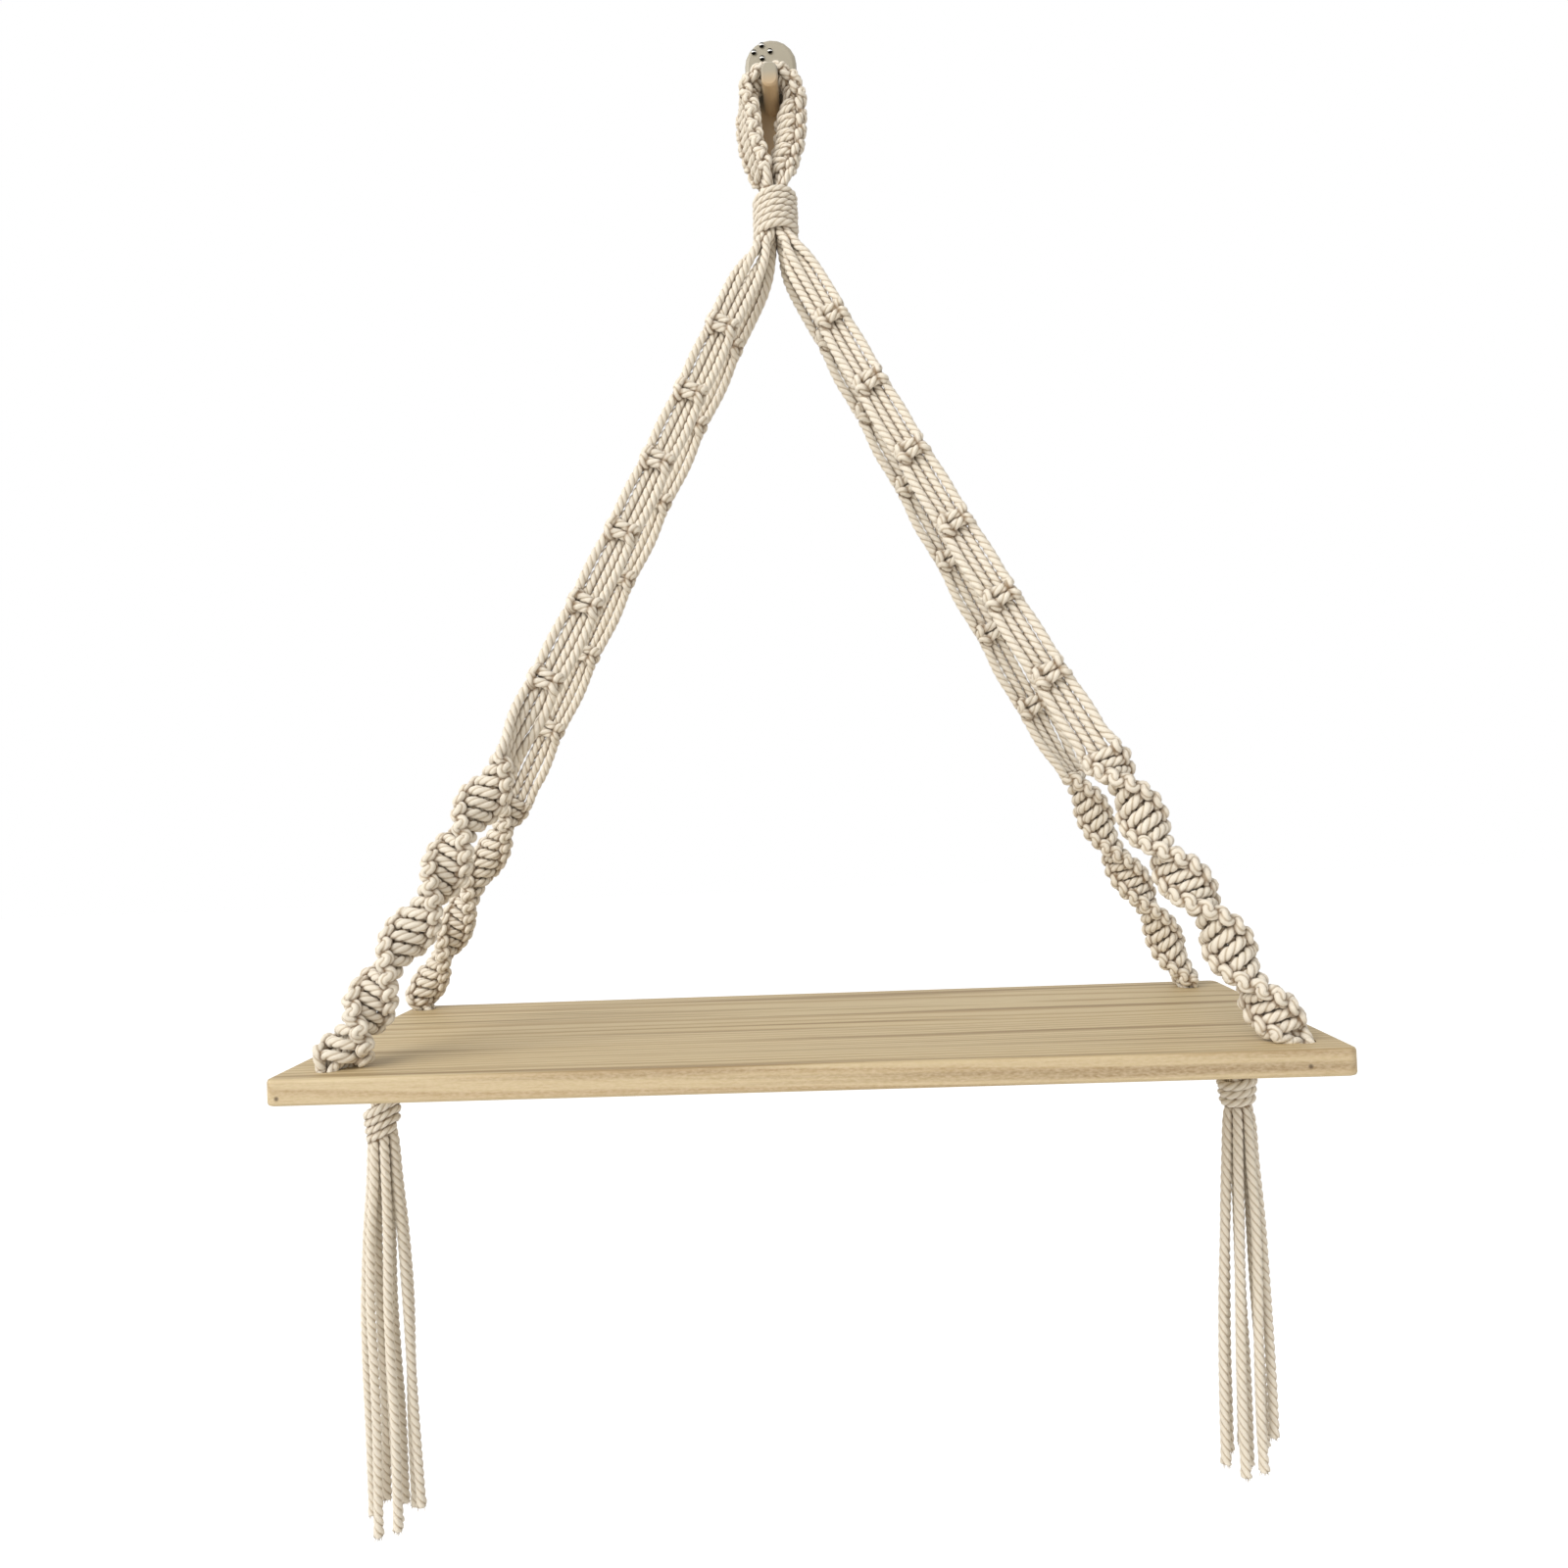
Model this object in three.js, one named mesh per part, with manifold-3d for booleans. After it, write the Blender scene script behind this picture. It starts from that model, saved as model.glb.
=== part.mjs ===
// A hanging rope shelf: a pine board carried by four knotted cotton straps under one wall hook.
// Millimetres, +Z up. The wall is the plane Y = 0 and the shelf stands out from it towards -Y.
// The origin is the middle of the wall hook's flat back.

import * as THREE from 'three';
import { mergeVertices } from 'three/addons/utils/BufferGeometryUtils.js';
import Module from 'manifold-3d';

const wasm = await Module();
wasm.setup();

// Clearances shared by all pieces
const gap = 0.3; // between pieces that rest on, meet or pass through each other
const overrun = 5; // how far a cutter runs past what it cuts

// The board and its holes
const boardLength = 400;
const boardDepth = 150;
const boardThick = 10;
const boardEase = 1.2; // eased edges
const boardCorner = 4; // corner radius seen from above
const boardDrop = 451; // from the hook's middle down to the board's top
const wallClearance = 2; // between the board's back edge and the wall
const holeDiameter = 10;

// The wall hook: a domed plate, a round peg and an upturned lip
const plateWidth = 26;
const plateHeight = 60;
const plateThick = 6.5;
const plateBevel = 2;
const plateDome = 10.5; // rise of the rounded top
const plateCorner = 4; // lower corner radius
const pegDiameter = 8;
const pegDrop = 5.5; // peg's centre below the hook's middle
const lipThick = 4;
const lipRise = 8; // lip's top above the peg's centre
const lipBevel = 0.8;

// Four nails in a diamond near the top of the plate
const nailHead = 2.6;
const nailHeadThick = 0.9;
const nailShank = 1.2;
const nailAside = 4.1; // the diamond's centre, left of the plate's middle
const nailFromTop = 6.6; // and below the plate's top
const nailHalfWidth = 4.1;
const nailHalfHeight = 3.3;

// The hanging loop: a flat band of square knots folded over the peg
const loopDrop = 62.5; // height of the band's middle line
const bandDepth = 18; // the band's width, out from the wall
const bandClearance = 1; // between the band and the plate or the lip
const archThick = 8; // the band's thickness over the peg
const armThick = 13.8; // and down its sides
const loopEndThick = 10.4; // and where it enters the wrap
const loopKnotPitch = 8.3;
const loopKnotEase = 0.5; // how far the band draws in between knots
const leanSlope = 0.16; // the loop and the wrap lean out from the wall by this much a length

// The wrap below the loop
const wrapCoreDiameter = 15;
const wrapCord = 3.05;
const wrapPitch = 3.5;
const wrapTurns = 6.1;
const flareHeight = 5.5; // where the sixteen cords begin to part
const flareDiameter = 25.6;

// The cords of the four straps
const heldCord = 3.8; // a cord drawn tight in a strap
const leaveRow = 4.6; // a strap leaves the wrap this far towards the room or the wall from its middle
const leaveAside = { front: 6.8, back: 4.8 }; // and this far to its side
const spread = 40; // over this length a strap's square of cords opens into a flat band
const straightEnd = 2; // the last of a held cord, or of a bundle, where it meets the next piece
const knotWidth = 17;
const knotThick = 9.4;
const knotLength = 9;
const spiralWidth = { front: 19.8, back: 17.4 };
const spiralThick = { front: 10.6, back: 9.6 };
const spiralStartShare = 0.85; // of its width and thickness at the spiral's upper end
const spiralEnd = 8; // over this length the spiral draws in to its hole
const bundleRise = 1.2; // the cords in a hole stand this far above the board

// The cords under the board and the gathering knots
const bundleDiameter = 8.4;
const gatherDepth = 12.8; // board's underside down to the knot's shoulder
const gatherShoulder = 1.2;
const gatherTaper = 3.5;
const gatherCore = 8.8;
const gatherDome = 7; // radius of the core's rounded lower end
const gatherCord = 3.5;
const gatherPitch = 4;
const gatherTurns = 3.35;
const gatherLength = 25; // shoulder down to the core's rounded lower end
const gatherAside = { left: 1.6, right: -1.5 }; // outwards from between the end's two holes

// The cut cords of a tassel
const tasselCord = 4;
const tasselGap = 0.35; // below the core's rounded end

// Faces on round pieces
const fine = 24;
const medium = 16;
const coarse = 8;
const curveFaces = 5; // to a rounded corner

// Each strap's own sizes. Its hole is so far in from the board's end and from its long edge. Its
// middle line starts so far aside at the wrap, ends so far outside its hole and sags so much
// between. Its knots and bulges are so far down from the wrap.
const frontLeft = {
  holeFromEnd: 18.5, holeFromEdge: 14.5, startAside: 7.8, endAside: -1.3, sag: 4.6,
  firstKnot: 49, knotPitch: 37.9, firstBulge: 293, halfTurn: 30,
};
const frontRight = {
  holeFromEnd: 14.5, holeFromEdge: 14.5, startAside: 6.1, endAside: -3.2, sag: 4.2,
  firstKnot: 47, knotPitch: 40.2, firstBulge: 290, halfTurn: 29.3,
};
const backLeft = {
  holeFromEnd: 8.5, holeFromEdge: 9.5, startAside: 4, endAside: 4.8, sag: 0.8,
  firstKnot: 47, knotPitch: 41.2, firstBulge: 322, halfTurn: 36,
};
const backRight = {
  holeFromEnd: 18, holeFromEdge: 15, startAside: 5, endAside: 2.1, sag: 1.9,
  firstKnot: 45, knotPitch: 40.6, firstBulge: 311, halfTurn: 34,
};
const straps = [
  { name: 'front_left', side: -1, row: 'front', ...frontLeft },
  { name: 'front_right', side: 1, row: 'front', ...frontRight },
  { name: 'back_left', side: -1, row: 'back', ...backLeft },
  { name: 'back_right', side: 1, row: 'back', ...backRight },
];
const bendShare = 0.35; // of the spread, where a strap bends most
const knotsInStrap = 6;
const openBeforeSpiral = 38; // from the last square knot to the spiral

// Steel, plastic, pine and cotton
const finishes = {
  pine: { color: 0xd0b98c, roughness: 0.62, metalness: 0 },
  plastic: { color: 0xe6e2d8, roughness: 0.35, metalness: 0 },
  steel: { color: 0xb8b8b6, roughness: 0.25, metalness: 1 },
  cotton: { color: 0xe6dcc8, roughness: 0.92, metalness: 0 },
};

const shelf = new THREE.Group();

function addPiece(name, geometry, finish, parent = shelf) {
  const mesh = new THREE.Mesh(geometry, new THREE.MeshStandardMaterial(finishes[finish]));
  mesh.name = name;
  parent.add(mesh);
  return mesh;
}

// A closed geometry as a solid for cutting and joining
function solidOf(geometry) {
  const bare = geometry.clone();
  bare.deleteAttribute('normal');
  bare.deleteAttribute('uv');
  const merged = mergeVertices(bare);
  return new wasm.Manifold(new wasm.Mesh({
    numProp: 3,
    vertProperties: merged.attributes.position.array,
    triVerts: merged.index.array,
  }));
}

function geometryOf(solid) {
  const mesh = solid.getMesh();
  const geometry = new THREE.BufferGeometry();
  geometry.setAttribute('position', new THREE.BufferAttribute(mesh.vertProperties, 3));
  geometry.setIndex(new THREE.BufferAttribute(mesh.triVerts, 1));
  return geometry;
}

// The points of an ellipse about a centre, from the across axis round to the through axis
function ring(centre, across, through, halfWidth, halfThick, sides) {
  return Array.from({ length: sides }, (_, i) => {
    const angle = (2 * Math.PI * (i + 1 / 2)) / sides;
    return centre.clone()
      .addScaledVector(across, halfWidth * Math.cos(angle))
      .addScaledVector(through, halfThick * Math.sin(angle));
  });
}

// A closed skin over a row of rings, each going round the way the row advances
function skin(rings) {
  const sides = rings[0].length;
  const last = (rings.length - 1) * sides;
  const index = [];
  for (let r = 0; r < last; r += sides) {
    for (let i = 0; i < sides; i += 1) {
      const j = (i + 1) % sides;
      index.push(r + i, r + j, r + sides + j, r + i, r + sides + j, r + sides + i);
    }
  }
  for (let i = 1; i < sides - 1; i += 1) {
    index.push(0, i + 1, i, last, last + i, last + i + 1);
  }
  const geometry = new THREE.BufferGeometry().setFromPoints(rings.flat());
  geometry.setIndex(index);
  return geometry;
}

// A round cord along a list of points, with the rings kept from twisting
function cordAlong(points, radius, sides) {
  let across = null;
  const rings = points.map((point, i) => {
    const before = points[Math.max(i - 1, 0)];
    const after = points[Math.min(i + 1, points.length - 1)];
    const ahead = after.clone().sub(before).normalize();
    across = across ?? new THREE.Vector3(0, 1, 0).cross(ahead);
    across.addScaledVector(ahead, -across.dot(ahead)).normalize();
    return ring(point, across.clone(), ahead.clone().cross(across), radius, radius, sides);
  });
  return skin(rings);
}

// A disc-like or rounded body turned about the vertical through a row of [radius, height]
function turned(outline, sides) {
  return new THREE.LatheGeometry(outline.map(([r, z]) => new THREE.Vector2(r, z)), sides).rotateX(Math.PI / 2);
}

// An arc of [radius, height] points on a sphere, from the sphere's lowest point up to a radius
function domeArc(sphereRadius, centreHeight, toRadius, steps) {
  const top = Math.asin(toRadius / sphereRadius);
  return Array.from({ length: steps + 1 }, (_, i) => [
    sphereRadius * Math.sin((top * i) / steps),
    centreHeight - sphereRadius * Math.cos((top * i) / steps),
  ]);
}

// Heights that several pieces share
const boardTop = -boardDrop;
const boardUnder = boardTop - boardThick;
const boardBack = -wallClearance;
const boardFront = boardBack - boardDepth;
const boardMiddle = (boardBack + boardFront) / 2;
const holeX = ({ side, holeFromEnd }) => side * (boardLength / 2 - holeFromEnd);
const holeY = ({ row, holeFromEdge }) => (row === 'front' ? boardFront + holeFromEdge : boardBack - holeFromEdge);
const pegRadius = pegDiameter / 2;
const bandMiddle = -(plateThick + bandClearance + bandDepth / 2);
const lipInside = bandMiddle - bandDepth / 2 - bandClearance;
const loopTop = -pegDrop + pegRadius + gap + archThick / 2;
const loopBottom = loopTop - loopDrop;

// Eased board with a hole near each corner
function roundedRectangle(width, height, radius) {
  const shape = new THREE.Shape();
  const x = width / 2 - radius;
  const y = height / 2 - radius;
  shape.absarc(x, y, radius, 0, Math.PI / 2);
  shape.absarc(-x, y, radius, Math.PI / 2, Math.PI);
  shape.absarc(-x, -y, radius, Math.PI, 1.5 * Math.PI);
  shape.absarc(x, -y, radius, 1.5 * Math.PI, 2 * Math.PI);
  return shape;
}

function makeBoard() {
  const outline = roundedRectangle(boardLength - 2 * boardEase, boardDepth - 2 * boardEase, boardCorner - boardEase);
  const slab = new THREE.ExtrudeGeometry(outline, {
    depth: boardThick - 2 * boardEase,
    bevelSize: boardEase,
    bevelThickness: boardEase,
    bevelSegments: 2,
    curveSegments: 3,
  }).translate(0, boardMiddle, boardUnder + boardEase);
  let board = solidOf(slab);
  for (const strap of straps) {
    const drill = new THREE.CylinderGeometry(holeDiameter / 2, holeDiameter / 2, boardThick + 2 * overrun, medium)
      .rotateX(Math.PI / 2)
      .translate(holeX(strap), holeY(strap), boardTop - boardThick / 2);
    board = board.subtract(solidOf(drill));
  }
  addPiece('shelf_board', geometryOf(board), 'pine');
}

// Wall hook
function plateOutline() {
  const half = plateWidth / 2 - plateBevel;
  const top = plateHeight / 2 - plateBevel;
  const corner = plateCorner - plateBevel;
  const shape = new THREE.Shape();
  shape.absarc(corner - half, corner - top, corner, 1.5 * Math.PI, Math.PI, true);
  shape.absellipse(0, top - plateDome, half, plateDome, Math.PI, 0, true);
  shape.absarc(half - corner, corner - top, corner, 0, 1.5 * Math.PI, true);
  return shape;
}

// Turns a shape drawn in X and Z, and extruded, so that it stands out from the wall
function outFromWall(shape, start, end, bevel, segments) {
  return new THREE.ExtrudeGeometry(shape, {
    depth: end - start - 2 * bevel,
    bevelSize: bevel,
    bevelThickness: bevel,
    bevelSegments: segments,
    curveSegments: curveFaces,
  }).rotateX(Math.PI / 2).translate(0, -start - bevel, 0);
}

function nailPlaces() {
  const middle = plateHeight / 2 - nailFromTop;
  return [
    ['top', 0, nailHalfHeight],
    ['left', -nailHalfWidth, 0],
    ['right', nailHalfWidth, 0],
    ['bottom', 0, -nailHalfHeight],
  ].map(([name, x, z]) => ({ name, x: x - nailAside, z: z + middle }));
}

function alongWallNormal(radius, start, end, x, z, sides) {
  return new THREE.CylinderGeometry(radius, radius, end - start, sides)
    .translate(x, -(start + end) / 2, z);
}

function makeHook() {
  const plate = solidOf(outFromWall(plateOutline(), -plateBevel, plateThick, plateBevel, 2));
  const behind = new THREE.BoxGeometry(2 * plateWidth, plateBevel + overrun, 2 * plateHeight)
    .translate(0, (plateBevel + overrun) / 2, 0);
  const peg = alongWallNormal(pegRadius, plateThick / 2, -lipInside + lipThick / 2, 0, -pegDrop, medium);
  const lipHeight = lipRise + pegRadius;
  const lipShape = roundedRectangle(
    pegDiameter - 2 * lipBevel, lipHeight - 2 * lipBevel, pegRadius - lipBevel - gap / 2);
  const lip = outFromWall(lipShape, -lipInside, -lipInside + lipThick, lipBevel, 1)
    .translate(0, 0, lipRise - pegDrop - lipHeight / 2);
  let hook = plate.subtract(solidOf(behind)).add(solidOf(peg)).add(solidOf(lip));
  for (const { x, z } of nailPlaces()) {
    const hole = alongWallNormal(nailShank / 2 + gap, -overrun, plateThick + overrun, x, z, coarse);
    hook = hook.subtract(solidOf(hole));
  }
  addPiece('wall_hook', geometryOf(hook), 'plastic');
}

function makeNails() {
  for (const { name, x, z } of nailPlaces()) {
    const under = plateThick + gap;
    const outline = [
      [0, 0],
      [nailShank / 2, 0],
      [nailShank / 2, under],
      [nailHead / 2, under],
      [nailHead / 2, under + nailHeadThick / 2],
      [nailHead / 3, under + nailHeadThick],
      [0, under + nailHeadThick],
    ];
    const nail = turned(outline, coarse).rotateX(Math.PI / 2).translate(x, 0, z);
    addPiece(`hook_nail_${name}`, nail, 'steel');
  }
}

// Hanging loop
// How far out the loop and the wrap hang at a height
const leanAt = (z) => bandMiddle - leanSlope * Math.max(0, -pegDrop - z);

// Places down one side of the band's middle line, as shares of its half width and of its height
const loopLineShares = [
  [0.55, 0.024], [0.9, 0.1], [1, 0.22], [1, 0.355], [0.94, 0.51], [0.82, 0.665], [0.63, 0.815], [0.5, 0.92],
];
const armFullShare = 0.3; // of the way down the middle line, where the arms are at full thickness
const armTaperShare = 0.65; // and where they begin to taper
const loopEndHalf = loopEndThick / 2 + gap;

function loopCurve() {
  const half = pegRadius + 2 * gap + armThick / 2;
  const down = loopLineShares.map(([x, z]) => [half * x, loopTop - loopDrop * z]);
  down.push([loopEndHalf, loopBottom]);
  const points = [
    ...down.map(([x, z]) => [-x, z]).reverse(),
    [0, loopTop],
    ...down,
  ].map(([x, z]) => new THREE.Vector3(x, leanAt(z), z));
  return new THREE.CatmullRomCurve3(points, false, 'centripetal');
}

// The band's thickness at a share of the way from the arch to either end
function bandThickAt(share) {
  const rise = THREE.MathUtils.smoothstep(share, 0, armFullShare);
  const fall = THREE.MathUtils.smoothstep(share, armTaperShare, 1);
  return archThick + (armThick - archThick) * rise - (armThick - loopEndThick) * fall;
}

function makeLoop() {
  const curve = loopCurve();
  const knots = Math.round(curve.getLength() / loopKnotPitch);
  const rings = [];
  for (let i = 0; i <= 2 * knots; i += 1) {
    const u = i / (2 * knots);
    const ahead = curve.getTangentAt(u);
    const across = new THREE.Vector3(0, 1, 0).cross(ahead).normalize();
    const through = ahead.clone().cross(across);
    const drawnIn = i % 2 ? 0 : loopKnotEase;
    const halfThick = bandThickAt(Math.abs(2 * u - 1)) / 2 - drawnIn;
    rings.push(ring(curve.getPointAt(u), across, through, halfThick, bandDepth / 2 - drawnIn, coarse));
  }
  addPiece('hanging_loop', skin(rings), 'cotton');
}

// Windings
const windingBendShare = 0.75; // of the cord, the radius at which a winding turns in to its core

// The middle line of a cord wound on an upright core, and its two ends, each from its tip outwards.
// An end turns in square to the core and runs straight for a length.
function windingLine(radius, pitch, turns, bend, straight, steps) {
  const at = (angle, r, z) => new THREE.Vector3(r * Math.cos(angle), r * Math.sin(angle), z);
  const inward = (angle, z, way) => {
    const inner = radius - bend;
    const points = [at(angle, inner - straight, z), at(angle, inner - straight / 2, z), at(angle, inner, z)];
    const corner = at(angle, inner, z);
    const out = at(angle, 1, 0);
    const along = at(angle + (way * Math.PI) / 2, 1, 0);
    for (let i = 1; i < 4; i += 1) {
      const turn = (Math.PI / 2) * (i / 4);
      points.push(corner.clone()
        .addScaledVector(out, bend * Math.sin(turn))
        .addScaledVector(along, bend * (1 - Math.cos(turn))));
    }
    return points;
  };
  const count = Math.round(turns * steps);
  const helix = Array.from({ length: count + 1 }, (_, i) => {
    const share = i / count;
    return at(2 * Math.PI * turns * share, radius, -pitch * turns * share);
  });
  const skip = bend / radius;
  const ends = [inward(-skip, 0, 1), inward(2 * Math.PI * turns + skip, -pitch * turns, -1)];
  return { line: [...ends[0], ...helix, ...ends[1].slice().reverse()], ends };
}

// The least space left between turns of a wound cord, measured on its middle line
function leastGap(line, diameter, turn) {
  let least = Infinity;
  line.forEach((a, i) => {
    line.slice(i + Math.floor(turn / 2)).forEach((b) => {
      least = Math.min(least, a.distanceTo(b));
    });
  });
  return least - diameter;
}

// A core and the cord wound on it, both standing upright with the winding's first turn at z = first
function makeWinding(names, core, coreDiameter, cord, pitch, turns, first, steps, parent) {
  const radius = coreDiameter / 2 + gap + cord / 2;
  const { line, ends } = windingLine(radius, pitch, turns, windingBendShare * cord, cord, steps);
  const lower = new THREE.Vector3(0, 0, first);
  const placed = line.map((p) => p.clone().add(lower));
  let solid = solidOf(core);
  for (const end of ends) {
    const pocket = end.map((p) => p.clone().add(lower));
    const [tip, inside] = pocket;
    tip.add(tip.clone().sub(inside).setLength(gap));
    solid = solid.subtract(solidOf(cordAlong(pocket, cord / 2 + gap, coarse)));
  }
  addPiece(names[0], geometryOf(solid), 'cotton', parent);
  addPiece(names[1], cordAlong(placed, cord / 2, 6), 'cotton', parent);
  console.log(`${names[1]}: least gap to itself ${leastGap(placed, cord, steps).toFixed(2)} mm`);
}

// The wrap, standing on the lean
const wrapTop = loopBottom - 1.5 * gap;
const wrapHeight = wrapPitch * wrapTurns + wrapCord;
const lean = new THREE.Group();
lean.position.set(0, leanAt(wrapTop), wrapTop);
lean.rotation.x = -Math.atan(leanSlope);

function makeTopWrap() {
  const core = wrapCoreDiameter / 2;
  const outline = [
    [0, -wrapHeight - flareHeight],
    [flareDiameter / 2, -wrapHeight - flareHeight],
    [flareDiameter / 2 - gap, -wrapHeight - flareHeight / 2],
    [core, -wrapHeight - gap],
    [core, 0],
    [0, 0],
  ];
  makeWinding(['top_wrap_core', 'top_wrap_winding'], turned(outline, fine), wrapCoreDiameter, wrapCord,
    wrapPitch, wrapTurns, -wrapCord / 2, medium, lean);
  shelf.add(lean);
  lean.updateMatrixWorld(true);
}

// Straps
// A strap's group stands where it leaves the wrap, with Z down the strap, X across its flat side
// and Y towards the room. Distances s run along Z from the wrap.
const cordPitch = heldCord + gap;

function strapGroup(strap) {
  const leavesAt = (aside) => lean.localToWorld(new THREE.Vector3(
    strap.side * aside, strap.row === 'front' ? -leaveRow : leaveRow, -wrapHeight - flareHeight));
  const start = leavesAt(strap.startAside);
  const end = new THREE.Vector3(holeX(strap) + strap.side * strap.endAside, holeY(strap), boardTop);
  const ahead = end.clone().sub(start).normalize();
  const face = squareTo(ahead, new THREE.Vector3(0, -1, 0));
  const group = new THREE.Group();
  group.position.copy(start);
  group.quaternion.setFromRotationMatrix(new THREE.Matrix4().makeBasis(face.clone().cross(ahead), face, ahead));
  group.updateMatrixWorld(true);
  const turnBack = group.quaternion.clone().invert();
  Object.assign(group.userData, {
    length: start.distanceTo(end),
    leaves: group.worldToLocal(leavesAt(leaveAside[strap.row])),
    down: new THREE.Vector3(0, 0, -1).applyQuaternion(lean.quaternion).applyQuaternion(turnBack),
    room: new THREE.Vector3(0, -1, 0).applyQuaternion(turnBack),
    sagWay: squareTo(ahead, new THREE.Vector3(0, 0, -1)).applyQuaternion(turnBack),
  });
  shelf.add(group);
  return group;
}

// The part of a direction that is square to the way ahead
function squareTo(ahead, direction) {
  return direction.clone().addScaledVector(ahead, -direction.dot(ahead)).normalize();
}

// How far the sag moves the strap at a distance. A square knot holds its cords straight.
function sagAt(strap, group, s) {
  const { length, sagWay } = group.userData;
  const nearest = Math.round((s - strap.firstKnot) / strap.knotPitch);
  const knot = strap.firstKnot + strap.knotPitch * THREE.MathUtils.clamp(nearest, 0, knotsInStrap - 1);
  const share = (Math.abs(s - knot) <= knotLength / 2 ? knot : s) / length;
  return sagWay.clone().multiplyScalar(4 * strap.sag * share * (1 - share));
}

// The strap's middle and its two side directions: a bend out of the wrap, then the sagging line
function strapFrame(strap, group, s) {
  const lineAt = (distance) => sagAt(strap, group, distance).add(new THREE.Vector3(0, 0, distance));
  if (s >= spread) {
    return { centre: lineAt(s), across: new THREE.Vector3(1, 0, 0), face: new THREE.Vector3(0, 1, 0) };
  }
  const { leaves, down, room } = group.userData;
  const bend = new THREE.CubicBezierCurve3(
    leaves, leaves.clone().addScaledVector(down, 2 * straightEnd), lineAt(bendShare * spread), lineAt(spread));
  const ahead = bend.getTangentAt(s / spread);
  const face = squareTo(ahead, room);
  return { centre: bend.getPointAt(s / spread), across: face.clone().cross(ahead), face };
}

const lastKnot = ({ firstKnot, knotPitch }) => firstKnot + (knotsInStrap - 1) * knotPitch;
const spiralStart = (strap) => lastKnot(strap) + openBeforeSpiral;

// The turn of the band at a distance: flat through the square knots, then into the spiral, which
// turns the way of a letter S
function twistAt(strap, s) {
  const begin = spiralStart(strap);
  const halfTurns = (begin - strap.firstBulge) / strap.halfTurn;
  const first = Math.PI * (halfTurns - Math.floor(halfTurns + 1 / 4));
  const flat = lastKnot(strap) + knotLength / 2;
  if (s < begin) return -first * THREE.MathUtils.clamp((s - flat) / (begin - straightEnd - flat), 0, 1);
  return -first - (Math.PI * (s - begin)) / strap.halfTurn;
}

function onStrap(s, x, y, turn) {
  return new THREE.Vector3(x, y, s).applyAxisAngle(new THREE.Vector3(0, 0, 1), turn);
}

// A cord's place: slots -2 and 2 are the working cords, -1 and 1 the fillers between them. At the
// wrap the four stand in a square, a working cord and a filler on each side.
function cordPlace(strap, group, slot, s) {
  const side = Math.sign(slot);
  const works = Math.abs(slot) === 2;
  const opened = (Math.PI / 2) * THREE.MathUtils.smoothstep(s, 0, spread);
  const across = side * (cordPitch / 2 + (works ? cordPitch * Math.sin(opened) : 0));
  const layer = (works ? side : -side) * (cordPitch / 2) * Math.cos(opened);
  const offset = onStrap(0, across, layer, twistAt(strap, s));
  const frame = strapFrame(strap, group, s);
  return frame.centre.addScaledVector(frame.across, offset.x).addScaledVector(frame.face, offset.y);
}

const knotPlaces = (strap) => Array.from({ length: knotsInStrap }, (_, i) => strap.firstKnot + i * strap.knotPitch);

// Distances of the rings on a strap's cord
const bendStepShares = [0.25, 0.5, 0.75, 1]; // of the way out of the wrap, and of the twist into the spiral

function cordStations(strap, works) {
  const opening = bendStepShares.map((share) => share * spread);
  const knots = knotPlaces(strap).flatMap((s) => (works ? [s] : [s - knotLength / 2, s + knotLength / 2]));
  const flat = lastKnot(strap) + knotLength / 2;
  const twisting = spiralStart(strap) - straightEnd - flat;
  const closing = bendStepShares.map((share) => flat + share * twisting);
  const left = works ? [...knots, flat] : knots;
  return [...opening, ...left, ...closing, spiralStart(strap)];
}

function strapCord(strap, group, slot) {
  const works = Math.abs(slot) === 2;
  const points = cordStations(strap, works).map((s) => cordPlace(strap, group, slot, s));
  const top = cordPlace(strap, group, slot, 0);
  points.unshift(...[gap, gap + straightEnd].map((s) => top.clone().addScaledVector(group.userData.down, s)));
  return cordAlong(points, heldCord / 2, 6);
}

// A square knot: a block with cut corners round both fillers
const knotSideShares = [[-0.5, 0.95, 0.74], [0, 1, 1], [0.5, 0.95, 0.74]]; // place, width, thickness
const knotEndShares = [[1, 0.5], [0.74, 1], [-0.74, 1], [-1, 0.5], [-1, -0.5], [-0.74, -1], [0.74, -1], [1, -0.5]];

// A square knot round both fillers, with the space they take left open
function squareKnot(strap, group, s) {
  const rings = knotSideShares.map(([place, wide, thick]) => knotEndShares.map(([x, y]) => new THREE.Vector3(
    (x * wide * knotWidth) / 2, (y * thick * knotThick) / 2, place * knotLength)));
  const channel = new THREE.BoxGeometry(cordPitch + heldCord + 2 * gap, heldCord + 2 * gap, 2 * knotLength);
  const place = sagAt(strap, group, s).setZ(s);
  return solidOf(skin(rings)).subtract(solidOf(channel)).translate(place.toArray());
}

function makeStrapCords(strap, group) {
  addPiece(`${strap.name}_filler_left`, strapCord(strap, group, -1), 'cotton', group);
  addPiece(`${strap.name}_filler_right`, strapCord(strap, group, 1), 'cotton', group);
  const knots = knotPlaces(strap).map((s) => squareKnot(strap, group, s));
  const workers = knots.reduce((a, b) => a.add(b))
    .add(solidOf(strapCord(strap, group, -2)))
    .add(solidOf(strapCord(strap, group, 2)));
  addPiece(`${strap.name}_working_cords`, geometryOf(workers), 'cotton', group);
}

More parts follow.
